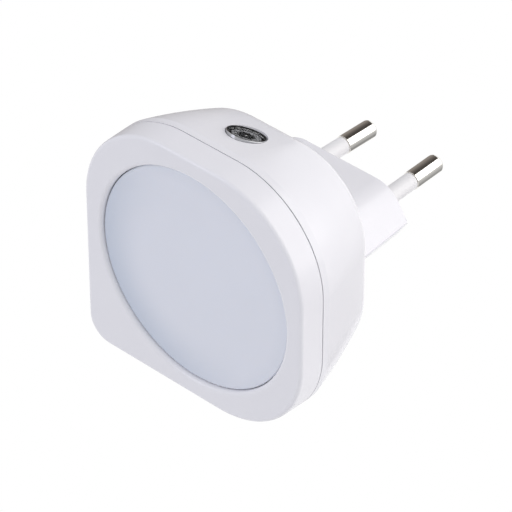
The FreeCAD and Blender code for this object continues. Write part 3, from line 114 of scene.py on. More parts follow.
# %% World
WORLD_LEVEL = 0.715
WORLD_COLOUR = (0.93, 0.95, 1.0)


def clear_tree(tree):
    tree.nodes.clear()
    return tree


def seen_directly(tree):
    """1 for camera, mirror and glass rays, and 0 for the rays that only carry light."""
    path = tree.nodes.new("ShaderNodeLightPath")
    first = tree.nodes.new("ShaderNodeMath")
    first.operation = "MAXIMUM"
    tree.links.new(path.outputs["Is Camera Ray"], first.inputs[0])
    tree.links.new(path.outputs["Is Glossy Ray"], first.inputs[1])
    second = tree.nodes.new("ShaderNodeMath")
    second.operation = "MAXIMUM"
    tree.links.new(first.outputs[0], second.inputs[0])
    tree.links.new(path.outputs["Is Transmission Ray"], second.inputs[1])
    return second.outputs[0]


def white_when_seen(tree, soft, glow_type, output_type):
    """Mix a soft shader with plain white light for the rays that show it."""
    white = tree.nodes.new(glow_type)
    white.inputs["Color"].default_value = (1, 1, 1, 1)
    white.inputs["Strength"].default_value = 1
    mixed = tree.nodes.new("ShaderNodeMixShader")
    tree.links.new(seen_directly(tree), mixed.inputs["Fac"])
    tree.links.new(soft.outputs[0], mixed.inputs[1])
    tree.links.new(white.outputs[0], mixed.inputs[2])
    output = tree.nodes.new(output_type)
    tree.links.new(mixed.outputs[0], output.inputs["Surface"])


world = bpy.data.worlds.new("studio")
world.use_nodes = True
bpy.context.scene.world = world
tree = clear_tree(world.node_tree)
soft = tree.nodes.new("ShaderNodeBackground")
soft.inputs["Color"].default_value = (*WORLD_COLOUR, 1)
soft.inputs["Strength"].default_value = WORLD_LEVEL
white_when_seen(tree, soft, "ShaderNodeBackground", "ShaderNodeOutputWorld")
print("world level:", WORLD_LEVEL)

# %% [markdown]
# The floor lies well below, so that no shadow of the object shows on it. It gives its white the
# same way as the world does, and scatters light upwards as a pale matt sheet would.

# %% Floor
FLOOR_DROP = 0.30
FLOOR_SIZE = 6.0
FLOOR_COLOUR = (0.80, 0.80, 0.81)

bpy.ops.mesh.primitive_plane_add(size=FLOOR_SIZE, location=(0, 0, cad_low.z - FLOOR_DROP))
floor = bpy.context.object
floor.name = "floor"
floor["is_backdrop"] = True
floor_paint = bpy.data.materials.new("floor_paint")
floor_paint.use_nodes = True
tree = clear_tree(floor_paint.node_tree)
paint = tree.nodes.new("ShaderNodeBsdfDiffuse")
paint.inputs["Color"].default_value = (*FLOOR_COLOUR, 1)
white_when_seen(tree, paint, "ShaderNodeEmission", "ShaderNodeOutputMaterial")
floor.data.materials.append(floor_paint)
print("floor height:", round(cad_low.z - FLOOR_DROP, 3))

# %% [markdown]
# White plastic shows its shape only by small differences of light. A wide softbox behind and to
# the right makes the side walls brightest, and a weaker, slightly blue one at the left front lifts
# the face. That one is smaller, so the rounded edges mirror it as thin bright lines.

# %% Lamps
KEY_WATTS = 5.0
KEY_SIZE = 1.1
KEY_OFFSET = Vector((0.66, 0.50, 0.43))
KEY_COLOUR = (1.0, 0.965, 0.945)
FRONT_WATTS = 1.6
FRONT_SIZE = 0.42
FRONT_OFFSET = Vector((-0.55, -0.75, 0.42))
FRONT_COLOUR = (0.88, 0.87, 1.0)

middle = (cad_low + cad_high) / 2


def softbox(name, watts, size, offset, colour):
    """A square lamp at an offset from the object's middle, turned to face it."""
    lamp_data = bpy.data.lights.new(name, "AREA")
    lamp_data.energy = watts
    lamp_data.size = size
    lamp_data.color = colour
    lamp = bpy.data.objects.new(name, lamp_data)
    bpy.context.scene.collection.objects.link(lamp)
    lamp.location = middle + offset
    lamp.rotation_mode = "QUATERNION"
    lamp.rotation_quaternion = (middle - (middle + offset)).to_track_quat("-Z", "Y")
    print(name, watts, "W, metres across:", size)


softbox("key_softbox", KEY_WATTS, KEY_SIZE, KEY_OFFSET, KEY_COLOUR)
softbox("front_softbox", FRONT_WATTS, FRONT_SIZE, FRONT_OFFSET, FRONT_COLOUR)

# %% [markdown]
# Polished metal has no look of its own: it shows the room. A photographer stands dark and grey
# cards round it, and here they are planes that only mirror rays can see. One dark card stands
# behind to the left: a part of a wide ring, because a round pin mirrors a cone of directions, and
# the walls, which mirror the middle, stay bright. Its end draws the sharp line along each pin. A
# grey one stands behind to the right, below the horizon, for the pins' shaded lower edges. A small
# black one hangs close to the light sensor, where its flat window mirrors it, so that the eye sees
# into the sensor.

# %% Cards
CARD_DISTANCE = 0.22
CARD_WIDTH = 6.0
CARD_SEGMENTS = 24
CARD_INNER = 0.5
DARK_EDGE_TOP = math.radians(77)
DARK_EDGE_LOW = math.radians(229)
DARK_LEVELS = (0.066, 0.29)
DARK_GRADE = (0.15, 0.62)
DARK_COLOUR = (1.0, 0.90, 0.83)
GREY_LEVELS = (0.70, 0.29)
GREY_GRADE = 0.8
BLACK_LEVEL = 0.02
BLACK_HALF = 8.5 * MM
BLACK_DISTANCE = 55 * MM

mirror_spread = math.hypot(back.x, back.z) / -back.y


def mirrored_at(angle, share=1.0):
    """Where a pin mirrors the card plane: an angle round the pins' axis, from the right."""
    reach = mirror_spread * CARD_DISTANCE * share
    return Vector((reach * math.cos(angle), CARD_DISTANCE, reach * math.sin(angle)))


def card(name, quads, start, end, levels, colour=(1, 1, 1)):
    """Glowing quads that only mirror rays see, graded between levels from start to end."""
    shape = bmesh.new()
    for corners in quads:
        shape.faces.new([shape.verts.new(corner) for corner in corners])
    mesh = bpy.data.meshes.new(name)
    shape.to_mesh(mesh)
    shape.free()
    board = bpy.data.objects.new(name, mesh)
    bpy.context.scene.collection.objects.link(board)
    board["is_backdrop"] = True
    board.visible_camera = False
    board.visible_diffuse = False
    board.visible_transmission = False
    board.visible_shadow = False
    material = bpy.data.materials.new(name)
    material.use_nodes = True
    tree = clear_tree(material.node_tree)
    where = tree.nodes.new("ShaderNodeTexCoord")
    along = tree.nodes.new("ShaderNodeVectorMath")
    along.operation = "DOT_PRODUCT"
    way = (end - start).normalized()
    along.inputs[1].default_value = way
    tree.links.new(where.outputs["Object"], along.inputs[0])
    grade = tree.nodes.new("ShaderNodeMapRange")
    grade.inputs["From Min"].default_value = start.dot(way)
    grade.inputs["From Max"].default_value = end.dot(way)
    grade.inputs["To Min"].default_value = levels[0]
    grade.inputs["To Max"].default_value = levels[1]
    tree.links.new(along.outputs["Value"], grade.inputs["Value"])
    glow = tree.nodes.new("ShaderNodeEmission")
    glow.inputs["Color"].default_value = (*colour, 1)
    tree.links.new(grade.outputs["Result"], glow.inputs["Strength"])
    output = tree.nodes.new("ShaderNodeOutputMaterial")
    tree.links.new(glow.outputs[0], output.inputs["Surface"])
    mesh.materials.append(material)
    print(name, "has", len(quads), "faces")
    return board


edge_top, edge_low = mirrored_at(DARK_EDGE_TOP), mirrored_at(DARK_EDGE_LOW)
edge = edge_low - edge_top
turns = [DARK_EDGE_TOP + (DARK_EDGE_LOW - DARK_EDGE_TOP) * step / CARD_SEGMENTS
         for step in range(CARD_SEGMENTS + 1)]
far_out = CARD_WIDTH / mirrored_at(0).x
ring_quads = [[mirrored_at(first, CARD_INNER), mirrored_at(second, CARD_INNER),
               mirrored_at(second, far_out), mirrored_at(first, far_out)]
              for first, second in zip(turns, turns[1:])]
card("dark_card", ring_quads, edge_top + edge * DARK_GRADE[0], edge_top + edge * DARK_GRADE[1],
     DARK_LEVELS, DARK_COLOUR)

horizon = Vector((0, CARD_DISTANCE, 0))
sideways = Vector((CARD_WIDTH, 0, 0))
table_low = Vector((0, 0, -mirrored_at(0).x))
corners = [horizon, horizon + sideways, horizon + sideways + table_low, horizon + table_low]
card("grey_card", [corners], horizon, horizon + table_low * GREY_GRADE, GREY_LEVELS)

sensor_normal = Vector((0, math.sin(SENSOR_LEAN), math.cos(SENSOR_LEAN)))
mirrored = sensor_normal * (2 * back.dot(sensor_normal)) - back
spot = sensor_centre + mirrored * BLACK_DISTANCE
across = mirrored.cross(sensor_normal).normalized() * BLACK_HALF
along = mirrored.cross(across).normalized() * BLACK_HALF
corners = [spot - across - along, spot + across - along,
           spot + across + along, spot - across + along]
black_card = card("black_card", [corners], spot - along, spot + along, (BLACK_LEVEL, BLACK_LEVEL))
black_card.visible_transmission = True

# %% [markdown]
# Every finish starts from the same few helpers. A material gets a Principled shader of its own,
# the patterns come from shared node groups, and a piece's own frame is Object coordinates counted
# from a named place, so that a ring or a band sits where the piece has it.

# %% Material helpers


def new_material(name):
    """An empty material with a Principled shader: the material, its tree and the shader."""
    material = bpy.data.materials.new(name)
    material.use_nodes = True
    tree = clear_tree(material.node_tree)
    shader = tree.nodes.new("ShaderNodeBsdfPrincipled")
    output = tree.nodes.new("ShaderNodeOutputMaterial")
    tree.links.new(shader.outputs[0], output.inputs["Surface"])
    return material, tree, shader


def feed(tree, value, socket):
    """Give a socket a link or a plain value."""
    if isinstance(value, bpy.types.NodeSocket):
        tree.links.new(value, socket)
    elif isinstance(value, tuple) and len(value) == 3 and socket.type == "RGBA":
        socket.default_value = (*value, 1)
    else:
        socket.default_value = value


def place_group(tree, group, **given):
    """Place a node group; each word's underscores stand for the spaces in an input's name."""
    placed = tree.nodes.new("ShaderNodeGroup")
    placed.node_tree = group
    for name, value in given.items():
        feed(tree, value, placed.inputs[name.replace("_", " ")])
    return placed.outputs


def mix_colours(tree, factor, first, second):
    """The first colour where the factor is 0, and the second where it is 1."""
    mix = tree.nodes.new("ShaderNodeMix")
    mix.data_type = "RGBA"
    feed(tree, factor, mix.inputs["Factor"])
    feed(tree, first, mix.inputs["A"])
    feed(tree, second, mix.inputs["B"])
    return mix.outputs["Result"]


def calculate(tree, operation, first, second=0.0):
    """One sum on one or two values."""
    sum_node = tree.nodes.new("ShaderNodeMath")
    sum_node.operation = operation
    feed(tree, first, sum_node.inputs[0])
    feed(tree, second, sum_node.inputs[1])
    return sum_node.outputs[0]


def bump(tree, shader, height, strength, distance):
    """Let a height pattern tilt the shader's normal."""
    node = tree.nodes.new("ShaderNodeBump")
    node.inputs["Strength"].default_value = strength
    node.inputs["Distance"].default_value = distance
    tree.links.new(height, node.inputs["Height"])
    tree.links.new(node.outputs["Normal"], shader.inputs["Normal"])


def own_frame(tree, centre, turn=(0, 0, 0)):
    """A piece's own coordinates: the vector, and its x, y and z apart."""
    where = tree.nodes.new("ShaderNodeTexCoord")
    mapping = tree.nodes.new("ShaderNodeMapping")
    mapping.vector_type = "TEXTURE"
    mapping.inputs["Location"].default_value = centre
    mapping.inputs["Rotation"].default_value = turn
    tree.links.new(where.outputs["Object"], mapping.inputs["Vector"])
    split = tree.nodes.new("ShaderNodeSeparateXYZ")
    tree.links.new(mapping.outputs[0], split.inputs[0])
    return mapping.outputs[0], split.outputs["X"], split.outputs["Y"], split.outputs["Z"]


def distance_from_axis(tree, first, second):
    """How far a point is from the axis that its two other coordinates cross."""
    total = calculate(tree, "ADD",
                      calculate(tree, "MULTIPLY", first, first),
                      calculate(tree, "MULTIPLY", second, second))
    return calculate(tree, "SQRT", total)


def dress(material, *names):
    """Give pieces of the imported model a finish."""
    for name in names:
        mesh = nodes[name].data
        mesh.materials.clear()
        mesh.materials.append(material)
    print(material.name, "on", ", ".join(names))


# %% [markdown]
# Moulded plastic is never quite even: the colour drifts a little, the gloss changes where the
# melt met the mould, and the skin has a very faint orange peel. One node group holds that, and
# each plastic places it with its own colours and strengths.

# %% Moulded skin group
FLOAT, COLOUR = "NodeSocketFloat", "NodeSocketColor"
SKIN_DETAIL, PEEL_DETAIL = 3, 2


def start_group(name, inputs, outputs):
    """An empty shader group with named sockets: the group and its two ends."""
    group = bpy.data.node_groups.new(name, "ShaderNodeTree")
    for label, value in inputs.items():
        kind = FLOAT
        if isinstance(value, tuple):
            kind = COLOUR if len(value) == 4 else "NodeSocketVector"
        socket = group.interface.new_socket(name=label, in_out="INPUT", socket_type=kind)
        socket.default_value = value
    for label, kind in outputs.items():
        group.interface.new_socket(name=label, in_out="OUTPUT", socket_type=kind)
    print("node group", name)
    return group, group.nodes.new("NodeGroupInput"), group.nodes.new("NodeGroupOutput")


def noise(tree, vector, scale, detail):
    texture = tree.nodes.new("ShaderNodeTexNoise")
    texture.inputs["Detail"].default_value = detail
    feed(tree, vector, texture.inputs["Vector"])
    feed(tree, scale, texture.inputs["Scale"])
    return texture.outputs["Fac"]


def remap(tree, value, low, high, to_low=0.0, to_high=1.0):
    """A smooth step from one range to another."""
    node = tree.nodes.new("ShaderNodeMapRange")
    node.interpolation_type = "SMOOTHSTEP"
    feed(tree, value, node.inputs["Value"])
    feed(tree, low, node.inputs["From Min"])
    feed(tree, high, node.inputs["From Max"])
    feed(tree, to_low, node.inputs["To Min"])
    feed(tree, to_high, node.inputs["To Max"])
    return node.outputs["Result"]


def make_moulded_skin():
    """Colour, Roughness and Height of a moulded skin, from Object coordinates."""
    group, given, result = start_group(
        "moulded_skin",
        {"Light Colour": (0.8, 0.8, 0.8, 1), "Dark Colour": (0.7, 0.7, 0.7, 1), "Drift Scale": 60.0,
         "Peel Scale": 900.0, "Roughness Low": 0.2, "Roughness High": 0.3},
        {"Colour": COLOUR, "Roughness": FLOAT, "Height": FLOAT})
    where = group.nodes.new("ShaderNodeTexCoord").outputs["Object"]
    drift = noise(group, where, given.outputs["Drift Scale"], SKIN_DETAIL)
    wide = remap(group, drift, 0.35, 0.65)
    colour = mix_colours(group, wide, given.outputs["Dark Colour"], given.outputs["Light Colour"])
    group.links.new(colour, result.inputs["Colour"])
    gloss = remap(group, drift, 0.3, 0.7,
                  given.outputs["Roughness Low"], given.outputs["Roughness High"])
    group.links.new(gloss, result.inputs["Roughness"])
    peel = noise(group, where, given.outputs["Peel Scale"], PEEL_DETAIL)
    group.links.new(peel, result.inputs["Height"])
    return group


moulded_skin = make_moulded_skin()

# %% [markdown]
# Handling polishes the edges of a white shell and rubs the plating of a pin's tip. On the shell
# the edges are also whitened: partly wear, partly a painted highlight. The Bevel node gives the
# normal that a rounded edge would have; where it differs from the surface's own normal there is an
# edge, and a broken noise keeps the wear from being an even line.

# %% Edge wear group
EDGE_RADIUS = 0.0004
BEVEL_SAMPLES = 4


def make_edge_wear():
    """1 on the edges, broken up by a noise."""
    group, given, result = start_group(
        "edge_wear", {"Radius": EDGE_RADIUS, "Scale": 1500.0}, {"Mask": FLOAT})
    rounded = group.nodes.new("ShaderNodeBevel")
    rounded.samples = BEVEL_SAMPLES
    group.links.new(given.outputs["Radius"], rounded.inputs["Radius"])
    surface = group.nodes.new("ShaderNodeNewGeometry")
    likeness = group.nodes.new("ShaderNodeVectorMath")
    likeness.operation = "DOT_PRODUCT"
    group.links.new(rounded.outputs["Normal"], likeness.inputs[0])
    group.links.new(surface.outputs["Normal"], likeness.inputs[1])
    edge_mask = remap(group, likeness.outputs["Value"], 0.98, 0.85)
    where = group.nodes.new("ShaderNodeTexCoord").outputs["Object"]
    broken = remap(group, noise(group, where, given.outputs["Scale"], 4), 0.35, 0.6)
    group.links.new(calculate(group, "MULTIPLY", edge_mask, broken), result.inputs["Mask"])
    return group


edge_wear = make_edge_wear()

# %% [markdown]
# Drawn, turned and plated metals share a fine grain that is long one way and short the others.
# The group multiplies the coordinates by a grain vector before the noise, so one group draws
# lengthwise scratches on a pin and plain mottling on a screw.

# %% Metal grain group


def make_metal_grain():
    """Colour, Roughness and Height of a metal whose grain is stretched by a vector."""
    group, given, result = start_group(
        "metal_grain",
        {"Light Colour": (0.8, 0.8, 0.8, 1), "Dark Colour": (0.6, 0.6, 0.6, 1),
         "Grain": (1000.0, 1000.0, 1000.0), "Roughness Low": 0.1, "Roughness High": 0.2},
        {"Colour": COLOUR, "Roughness": FLOAT, "Height": FLOAT})
    stretch = group.nodes.new("ShaderNodeVectorMath")
    stretch.operation = "MULTIPLY"
    group.links.new(group.nodes.new("ShaderNodeTexCoord").outputs["Object"], stretch.inputs[0])
    group.links.new(given.outputs["Grain"], stretch.inputs[1])
    grain = noise(group, stretch.outputs["Vector"], 1.0, 3)
    wide = remap(group, grain, 0.3, 0.7)
    colour = mix_colours(group, wide, given.outputs["Dark Colour"], given.outputs["Light Colour"])
    group.links.new(colour, result.inputs["Colour"])
    gloss = remap(group, grain, 0.3, 0.7,
                  given.outputs["Roughness High"], given.outputs["Roughness Low"])
    group.links.new(gloss, result.inputs["Roughness"])
    group.links.new(grain, result.inputs["Height"])
    return group


metal_grain = make_metal_grain()

# %% [markdown]
# Rings and stripes need a mask that is 1 where a value lies between two others, with ends that
# are soft over a given width.

# %% Band mask group
BAND_SOFTNESS = 0.00005


def make_band_mask():
    """1 where a value lies between two others."""
    group, given, result = start_group(
        "band_mask", {"Value": 0.0, "Low": 0.0, "High": 1.0, "Softness": BAND_SOFTNESS},
        {"Mask": FLOAT})
    value = given.outputs["Value"]
    past_low = calculate(group, "SUBTRACT", value, given.outputs["Low"])
    before_high = calculate(group, "SUBTRACT", given.outputs["High"], value)
    ends = []
    for gap in (past_low, before_high):
        widths = calculate(group, "DIVIDE", gap, given.outputs["Softness"])
        ends.append(remap(group, widths, -1.0, 1.0))
    group.links.new(calculate(group, "MULTIPLY", ends[0], ends[1]), result.inputs["Mask"])
    return group


band_mask = make_band_mask()

# %% [markdown]
# The shell is glossy white moulding with a faint violet cast. Its roughness decides how crisp the
# room looks in it: too smooth and the crowned walls mirror the softboxes, too rough and the edges
# lose their thin bright lines. The same recipe, with other values, makes the other plastics.

# %% Plastics
DRIFT_SCALE, PEEL_SCALE = 60.0, 900.0
PEEL_DISTANCE = 0.02 * MM
WORN_WHITE_AND_HIGHLIGHT = (0.97, 0.97, 0.98)
WORN_POLISH = 0.1


def plastic(name, light, dark, roughness, peel=0.02, specular=0.5, wear=0.0):
    """A moulded plastic: two near colours, a range of roughness, faint peel and edge wear, whose
    paler colour is partly a painted highlight.
    """
    material, tree, shader = new_material(name)
    skin = place_group(tree, moulded_skin, Light_Colour=light, Dark_Colour=dark,
                       Drift_Scale=DRIFT_SCALE, Peel_Scale=PEEL_SCALE,
                       Roughness_Low=roughness[0], Roughness_High=roughness[1])
    colour, gloss = skin["Colour"], skin["Roughness"]
    if wear:
        worn = place_group(tree, edge_wear)["Mask"]
        worn = calculate(tree, "MULTIPLY", worn, wear)
        # The worn edges are mixed towards near white: partly wear, partly a painted highlight.
        colour = mix_colours(tree, worn, colour, WORN_WHITE_AND_HIGHLIGHT)
        gloss = calculate(tree, "SUBTRACT", gloss,
                          calculate(tree, "MULTIPLY", worn, WORN_POLISH))
    tree.links.new(colour, shader.inputs["Base Color"])
    tree.links.new(gloss, shader.inputs["Roughness"])
    bump(tree, shader, skin["Height"], peel, PEEL_DISTANCE)
    shader.inputs["Specular IOR Level"].default_value = specular
    return material


dress(plastic("shell_white", (0.873, 0.86, 0.880), (0.861, 0.848, 0.870), (0.22, 0.27), wear=0.3),
      "front_bezel", "rear_housing")
dress(plastic("inner_white", (0.84, 0.84, 0.82), (0.80, 0.80, 0.78), (0.4, 0.5)),
      "light_box", "pin_retainer")
dress(plastic("sleeve_white", (0.865, 0.85, 0.845), (0.845, 0.83, 0.825), (0.32, 0.4), peel=0.05),
      "pin_sleeve_left", "pin_sleeve_right")
dress(plastic("cup_black", (0.02, 0.02, 0.022), (0.012, 0.012, 0.014), (0.5, 0.6), specular=0.15),
      "sensor_cup")

# %% [markdown]
# The opal disc is satin with a polished edge, a shade darker and bluer than the shell. Its rim
# carries painted shade, a little all round and most of all on the left and below. A mask from the
# distance to the disc's centre and the direction round it mixes the two colours.

# %% Opal disc
OPAL_MIDDLE = (0.82, 0.835, 0.893)
OPAL_PAINTED_SHADE = (0.61, 0.66, 0.745)
POLISHED_RIM = 1.6 * MM
SHADE_TOWARDS = (-0.88, 0.0, -0.47)
SHADE_START, SHADE_FULL = -0.3, 0.95
RIM_START, NARROW_START = 0.5, 0.8
NARROW_PAINTED_SHADE = 0.25
RIM_POLISH = 0.26
RIM_POLISH_END = 0.9
OPAL_DRIFT = 0.985
SCATTER_SHARE = 0.2
SCATTER_COLOURS = (1.0, 0.9, 0.8)
SCATTER_DEPTH = 0.8 * MM


def opal():
    """The diffuser's plastic, with painted shade round its rim and most of all on one side."""
    material, tree, shader = new_material("opal")
    skin = place_group(tree, moulded_skin, Light_Colour=OPAL_MIDDLE,
                       Dark_Colour=tuple(part * OPAL_DRIFT for part in OPAL_MIDDLE),
                       Drift_Scale=40.0, Peel_Scale=2500.0, Roughness_Low=0.42, Roughness_High=0.5)
    vector, x, _, z = own_frame(tree, front_centre)
    distance = distance_from_axis(tree, x, z)
    towards = tree.nodes.new("ShaderNodeVectorMath")
    towards.operation = "DOT_PRODUCT"
    tree.links.new(vector, towards.inputs[0])
    towards.inputs[1].default_value = SHADE_TOWARDS
    # Painted shade: the rim is mixed towards a darker, bluer colour, most on the left and below.
    side = remap(tree, towards.outputs["Value"],
                 opal_radius * SHADE_START, opal_radius * SHADE_FULL)
    rim = remap(tree, distance, opal_radius * RIM_START, opal_radius)
    narrow_rim = remap(tree, distance, opal_radius * NARROW_START, opal_radius, 0.0, NARROW_PAINTED_SHADE)
    shade = calculate(tree, "MAXIMUM", narrow_rim,
                      calculate(tree, "MULTIPLY", side, rim))
    colour = mix_colours(tree, shade, skin["Colour"], OPAL_PAINTED_SHADE)
    polished = remap(tree, distance, opal_radius - POLISHED_RIM,
                     opal_radius - POLISHED_RIM * RIM_POLISH_END)
    gloss = calculate(tree, "SUBTRACT", skin["Roughness"],
                      calculate(tree, "MULTIPLY", polished, RIM_POLISH))
    tree.links.new(colour, shader.inputs["Base Color"])
    tree.links.new(gloss, shader.inputs["Roughness"])
    bump(tree, shader, skin["Height"], 0.05, PEEL_DISTANCE)
    shader.inputs["Subsurface Weight"].default_value = SCATTER_SHARE
    shader.inputs["Subsurface Radius"].default_value = SCATTER_COLOURS
    shader.inputs["Subsurface Scale"].default_value = SCATTER_DEPTH
    return material


dress(opal(), "diffuser")

# %% [markdown]
# The pins are turned brass with a bright nickel plate, slightly warm, with lengthwise marks from
# being pushed into sockets. The screws and the tinned leads are duller. All of them place the
# grain group in a metallic shader.

# %% Metals
PIN_GRAIN = (5000.0, 90.0, 5000.0)
SCREW_GRAIN = (2500.0, 400.0, 2500.0)
LEAD_GRAIN = (2500.0, 300.0, 2500.0)
GRAIN_DISTANCE = 0.01 * MM
PLATE_EDGE = 0.25 * MM
WORN_PLATE = (0.9, 0.85, 0.7)


def metal(name, light, dark, roughness, grain, depth, wear=0.0):
    """A grained metal: two near colours, a range of roughness and edges worn to a warm tone."""
    material, tree, shader = new_material(name)
    surface = place_group(tree, metal_grain, Light_Colour=light, Dark_Colour=dark, Grain=grain,
                          Roughness_Low=roughness[0], Roughness_High=roughness[1])
    colour = surface["Colour"]
    if wear:
        worn = place_group(tree, edge_wear, Radius=PLATE_EDGE)["Mask"]
        colour = mix_colours(tree, calculate(tree, "MULTIPLY", worn, wear), colour, WORN_PLATE)
    tree.links.new(colour, shader.inputs["Base Color"])
    tree.links.new(surface["Roughness"], shader.inputs["Roughness"])
    shader.inputs["Metallic"].default_value = 1
    bump(tree, shader, surface["Height"], depth, GRAIN_DISTANCE)
    return material


dress(metal("pin_nickel", (0.93, 0.91, 0.87), (0.88, 0.86, 0.82), (0.07, 0.13), PIN_GRAIN,
            depth=0.06, wear=0.3), "plug_pin_left", "plug_pin_right")
dress(metal("screw_zinc", (0.70, 0.70, 0.68), (0.56, 0.56, 0.55), (0.25, 0.4), SCREW_GRAIN,
            depth=0.1), "led_board_screws", "driver_board_screws", "pin_retainer_screw")
dress(metal("lead_tin", (0.76, 0.76, 0.74), (0.64, 0.64, 0.63), (0.2, 0.32), LEAD_GRAIN,
            depth=0.1), "photocell_leads")

# %% [markdown]
# The sensor sits right under a clear window. The trim ring is chromed on its outer slope and black
# inside, and the window is plain glass, very slightly uneven. The cell has a grey rim with
# fine rings round its axis, and in its middle a black lens with a small pale chip: the die, painted
# near white as a glint. All the rings follow the distance from the sensor's leaning axis.

# %% Light sensor
SENSOR_TURN = (-SENSOR_LEAN, 0, 0)
CELL_RIM_RADIUS = 3.1 * MM
CHIP_RADIUS = 0.30 * MM
RING_INSIDE = 3.93 * MM
RING_EDGE = 0.02 * MM
LENS_RADIUS = 1.8 * MM
LENS_RING = (0.85 * MM, 1.15 * MM)
LENS_RING_SOFTNESS = 0.1 * MM
INSIDE_BLACK = (0.012, 0.012, 0.013)
LENS_RING_GREY = (0.10, 0.10, 0.105)
CHIP_GLINT_WHITE = (0.93, 0.92, 0.90)


def round_sensor(tree):
    """Coordinates counted from the window's middle, and the distance from the leaning axis."""
    vector, x, y, _ = own_frame(tree, sensor_centre, SENSOR_TURN)
    return vector, distance_from_axis(tree, x, y)


def trim_ring():
    """Dull chrome outside, black inside."""
    material, tree, shader = new_material("trim_ring")
    surface = place_group(tree, metal_grain, Light_Colour=(0.44, 0.445, 0.46),
                          Dark_Colour=(0.37, 0.375, 0.39), Grain=(900.0, 900.0, 900.0),
                          Roughness_Low=0.08, Roughness_High=0.16)
    _, distance = round_sensor(tree)
    inside = remap(tree, distance, RING_INSIDE + RING_EDGE, RING_INSIDE - RING_EDGE)
    colour = mix_colours(tree, inside, surface["Colour"], INSIDE_BLACK)
    tree.links.new(colour, shader.inputs["Base Color"])
    tree.links.new(calculate(tree, "SUBTRACT", 1.0, inside), shader.inputs["Metallic"])
    gloss = calculate(tree, "ADD", surface["Roughness"],
                      calculate(tree, "MULTIPLY", inside, 0.5))
    tree.links.new(gloss, shader.inputs["Roughness"])
    shader.inputs["Specular IOR Level"].default_value = 0.15
    bump(tree, shader, surface["Height"], 0.02, GRAIN_DISTANCE)
    return material


def clear_window():
    """Plain glass."""
    material, tree, shader = new_material("clear_window")
    shader.inputs["Transmission Weight"].default_value = 1
    shader.inputs["IOR"].default_value = 1.5
    where = tree.nodes.new("ShaderNodeTexCoord").outputs["Object"]
    drift = noise(tree, where, 400.0, 2)
    tint = mix_colours(tree, drift, (0.93, 0.94, 0.95), (0.98, 0.985, 0.99))
    tree.links.new(tint, shader.inputs["Base Color"])
    tree.links.new(remap(tree, drift, 0.3, 0.7, 0.0, 0.03), shader.inputs["Roughness"])
    bump(tree, shader, drift, 0.02, GRAIN_DISTANCE)
    return material


def cell_rim():
    """Grey, with fine rings and a mottle, and dark at its outer edge."""
    material, tree, shader = new_material("cell_rim")
    vector, distance = round_sensor(tree)
    rings = noise(tree, calculate(tree, "MULTIPLY", distance, 9000.0), 1.0, 2)
    mottle = noise(tree, vector, 1800.0, 4)
    mixed = calculate(tree, "MULTIPLY", calculate(tree, "ADD", rings, mottle), 0.5)
    colour = mix_colours(tree, remap(tree, mixed, 0.4, 0.6),
                         (0.34, 0.34, 0.355), (0.66, 0.66, 0.68))
    edge = remap(tree, distance, CELL_RIM_RADIUS * 0.93, CELL_RIM_RADIUS)
    colour = mix_colours(tree, edge, colour, (0.06, 0.06, 0.065))
    tree.links.new(colour, shader.inputs["Base Color"])
    tree.links.new(remap(tree, mottle, 0.3, 0.7, 0.2, 0.4), shader.inputs["Roughness"])
    bump(tree, shader, mixed, 0.1, PEEL_DISTANCE)
    return material


def cell_lens():
    """Black, with one paler ring and a small pale chip in the middle, painted near white as a
    glint.
    """
    material, tree, shader = new_material("cell_lens")
    vector, distance = round_sensor(tree)
    ring = place_group(tree, band_mask, Value=distance, Low=LENS_RING[0], High=LENS_RING[1],
                       Softness=LENS_RING_SOFTNESS)["Mask"]
    dark = mix_colours(tree, noise(tree, vector, 2200.0, 4),
                       (0.010, 0.010, 0.012), (0.045, 0.045, 0.05))
    colour = mix_colours(tree, ring, dark, LENS_RING_GREY)
    # Painted glint: the chip in the lens's middle is mixed to near white.
    chip = remap(tree, distance, CHIP_RADIUS * 1.3, CHIP_RADIUS * 0.7)
    colour = mix_colours(tree, chip, colour, CHIP_GLINT_WHITE)
    tree.links.new(colour, shader.inputs["Base Color"])
    tree.links.new(remap(tree, distance, 0.0, LENS_RADIUS, 0.08, 0.2), shader.inputs["Roughness"])
    bump(tree, shader, ring, 0.2, PEEL_DISTANCE)
    return material


dress(trim_ring(), "sensor_ring")
dress(clear_window(), "sensor_window")
dress(cell_rim(), "photocell")
dress(cell_lens(), "photocell_lens")

# %% [markdown]
# Inside, two boards carry the parts. A board is glass cloth under a solder mask: the copper shows
# through as paler lines, the cloth as a very fine weave, and the pads as small tinned dots. The
# mortar of a brick pattern gives straight tracks. Two such patterns, one turned a quarter, share
# the board by a coarse noise, because tracks run both ways. The edge shows the bare laminate.

# %% Boards
TRACK_PITCH = 1.9 * MM
TRACK_LENGTH = 23 * MM
PAD_RADIUS = 0.45 * MM
PAD_CELLS = 190.0
PAD_TIN = (0.66, 0.66, 0.63)
PATCH_SCALE, WEAVE_SCALE = 110.0, 4000.0
PART_RELIEF = 0.03 * MM


def tracks(tree, vector, turn, offset):
    """Thin straight tracks, one way."""
    mapping = tree.nodes.new("ShaderNodeMapping")
    mapping.inputs["Rotation"].default_value = (math.radians(90), turn, 0)
    tree.links.new(vector, mapping.inputs["Vector"])
    bricks = tree.nodes.new("ShaderNodeTexBrick")
    bricks.offset = offset
    bricks.offset_frequency = 3
    bricks.squash = 0.55
    bricks.squash_frequency = 2
    bricks.inputs["Scale"].default_value = 1.0
    bricks.inputs["Brick Width"].default_value = TRACK_LENGTH
    bricks.inputs["Row Height"].default_value = TRACK_PITCH
    bricks.inputs["Mortar Size"].default_value = TRACK_PITCH * 0.12
    bricks.inputs["Mortar Smooth"].default_value = 0.3
    tree.links.new(mapping.outputs[0], bricks.inputs["Vector"])
    return bricks.outputs["Fac"]


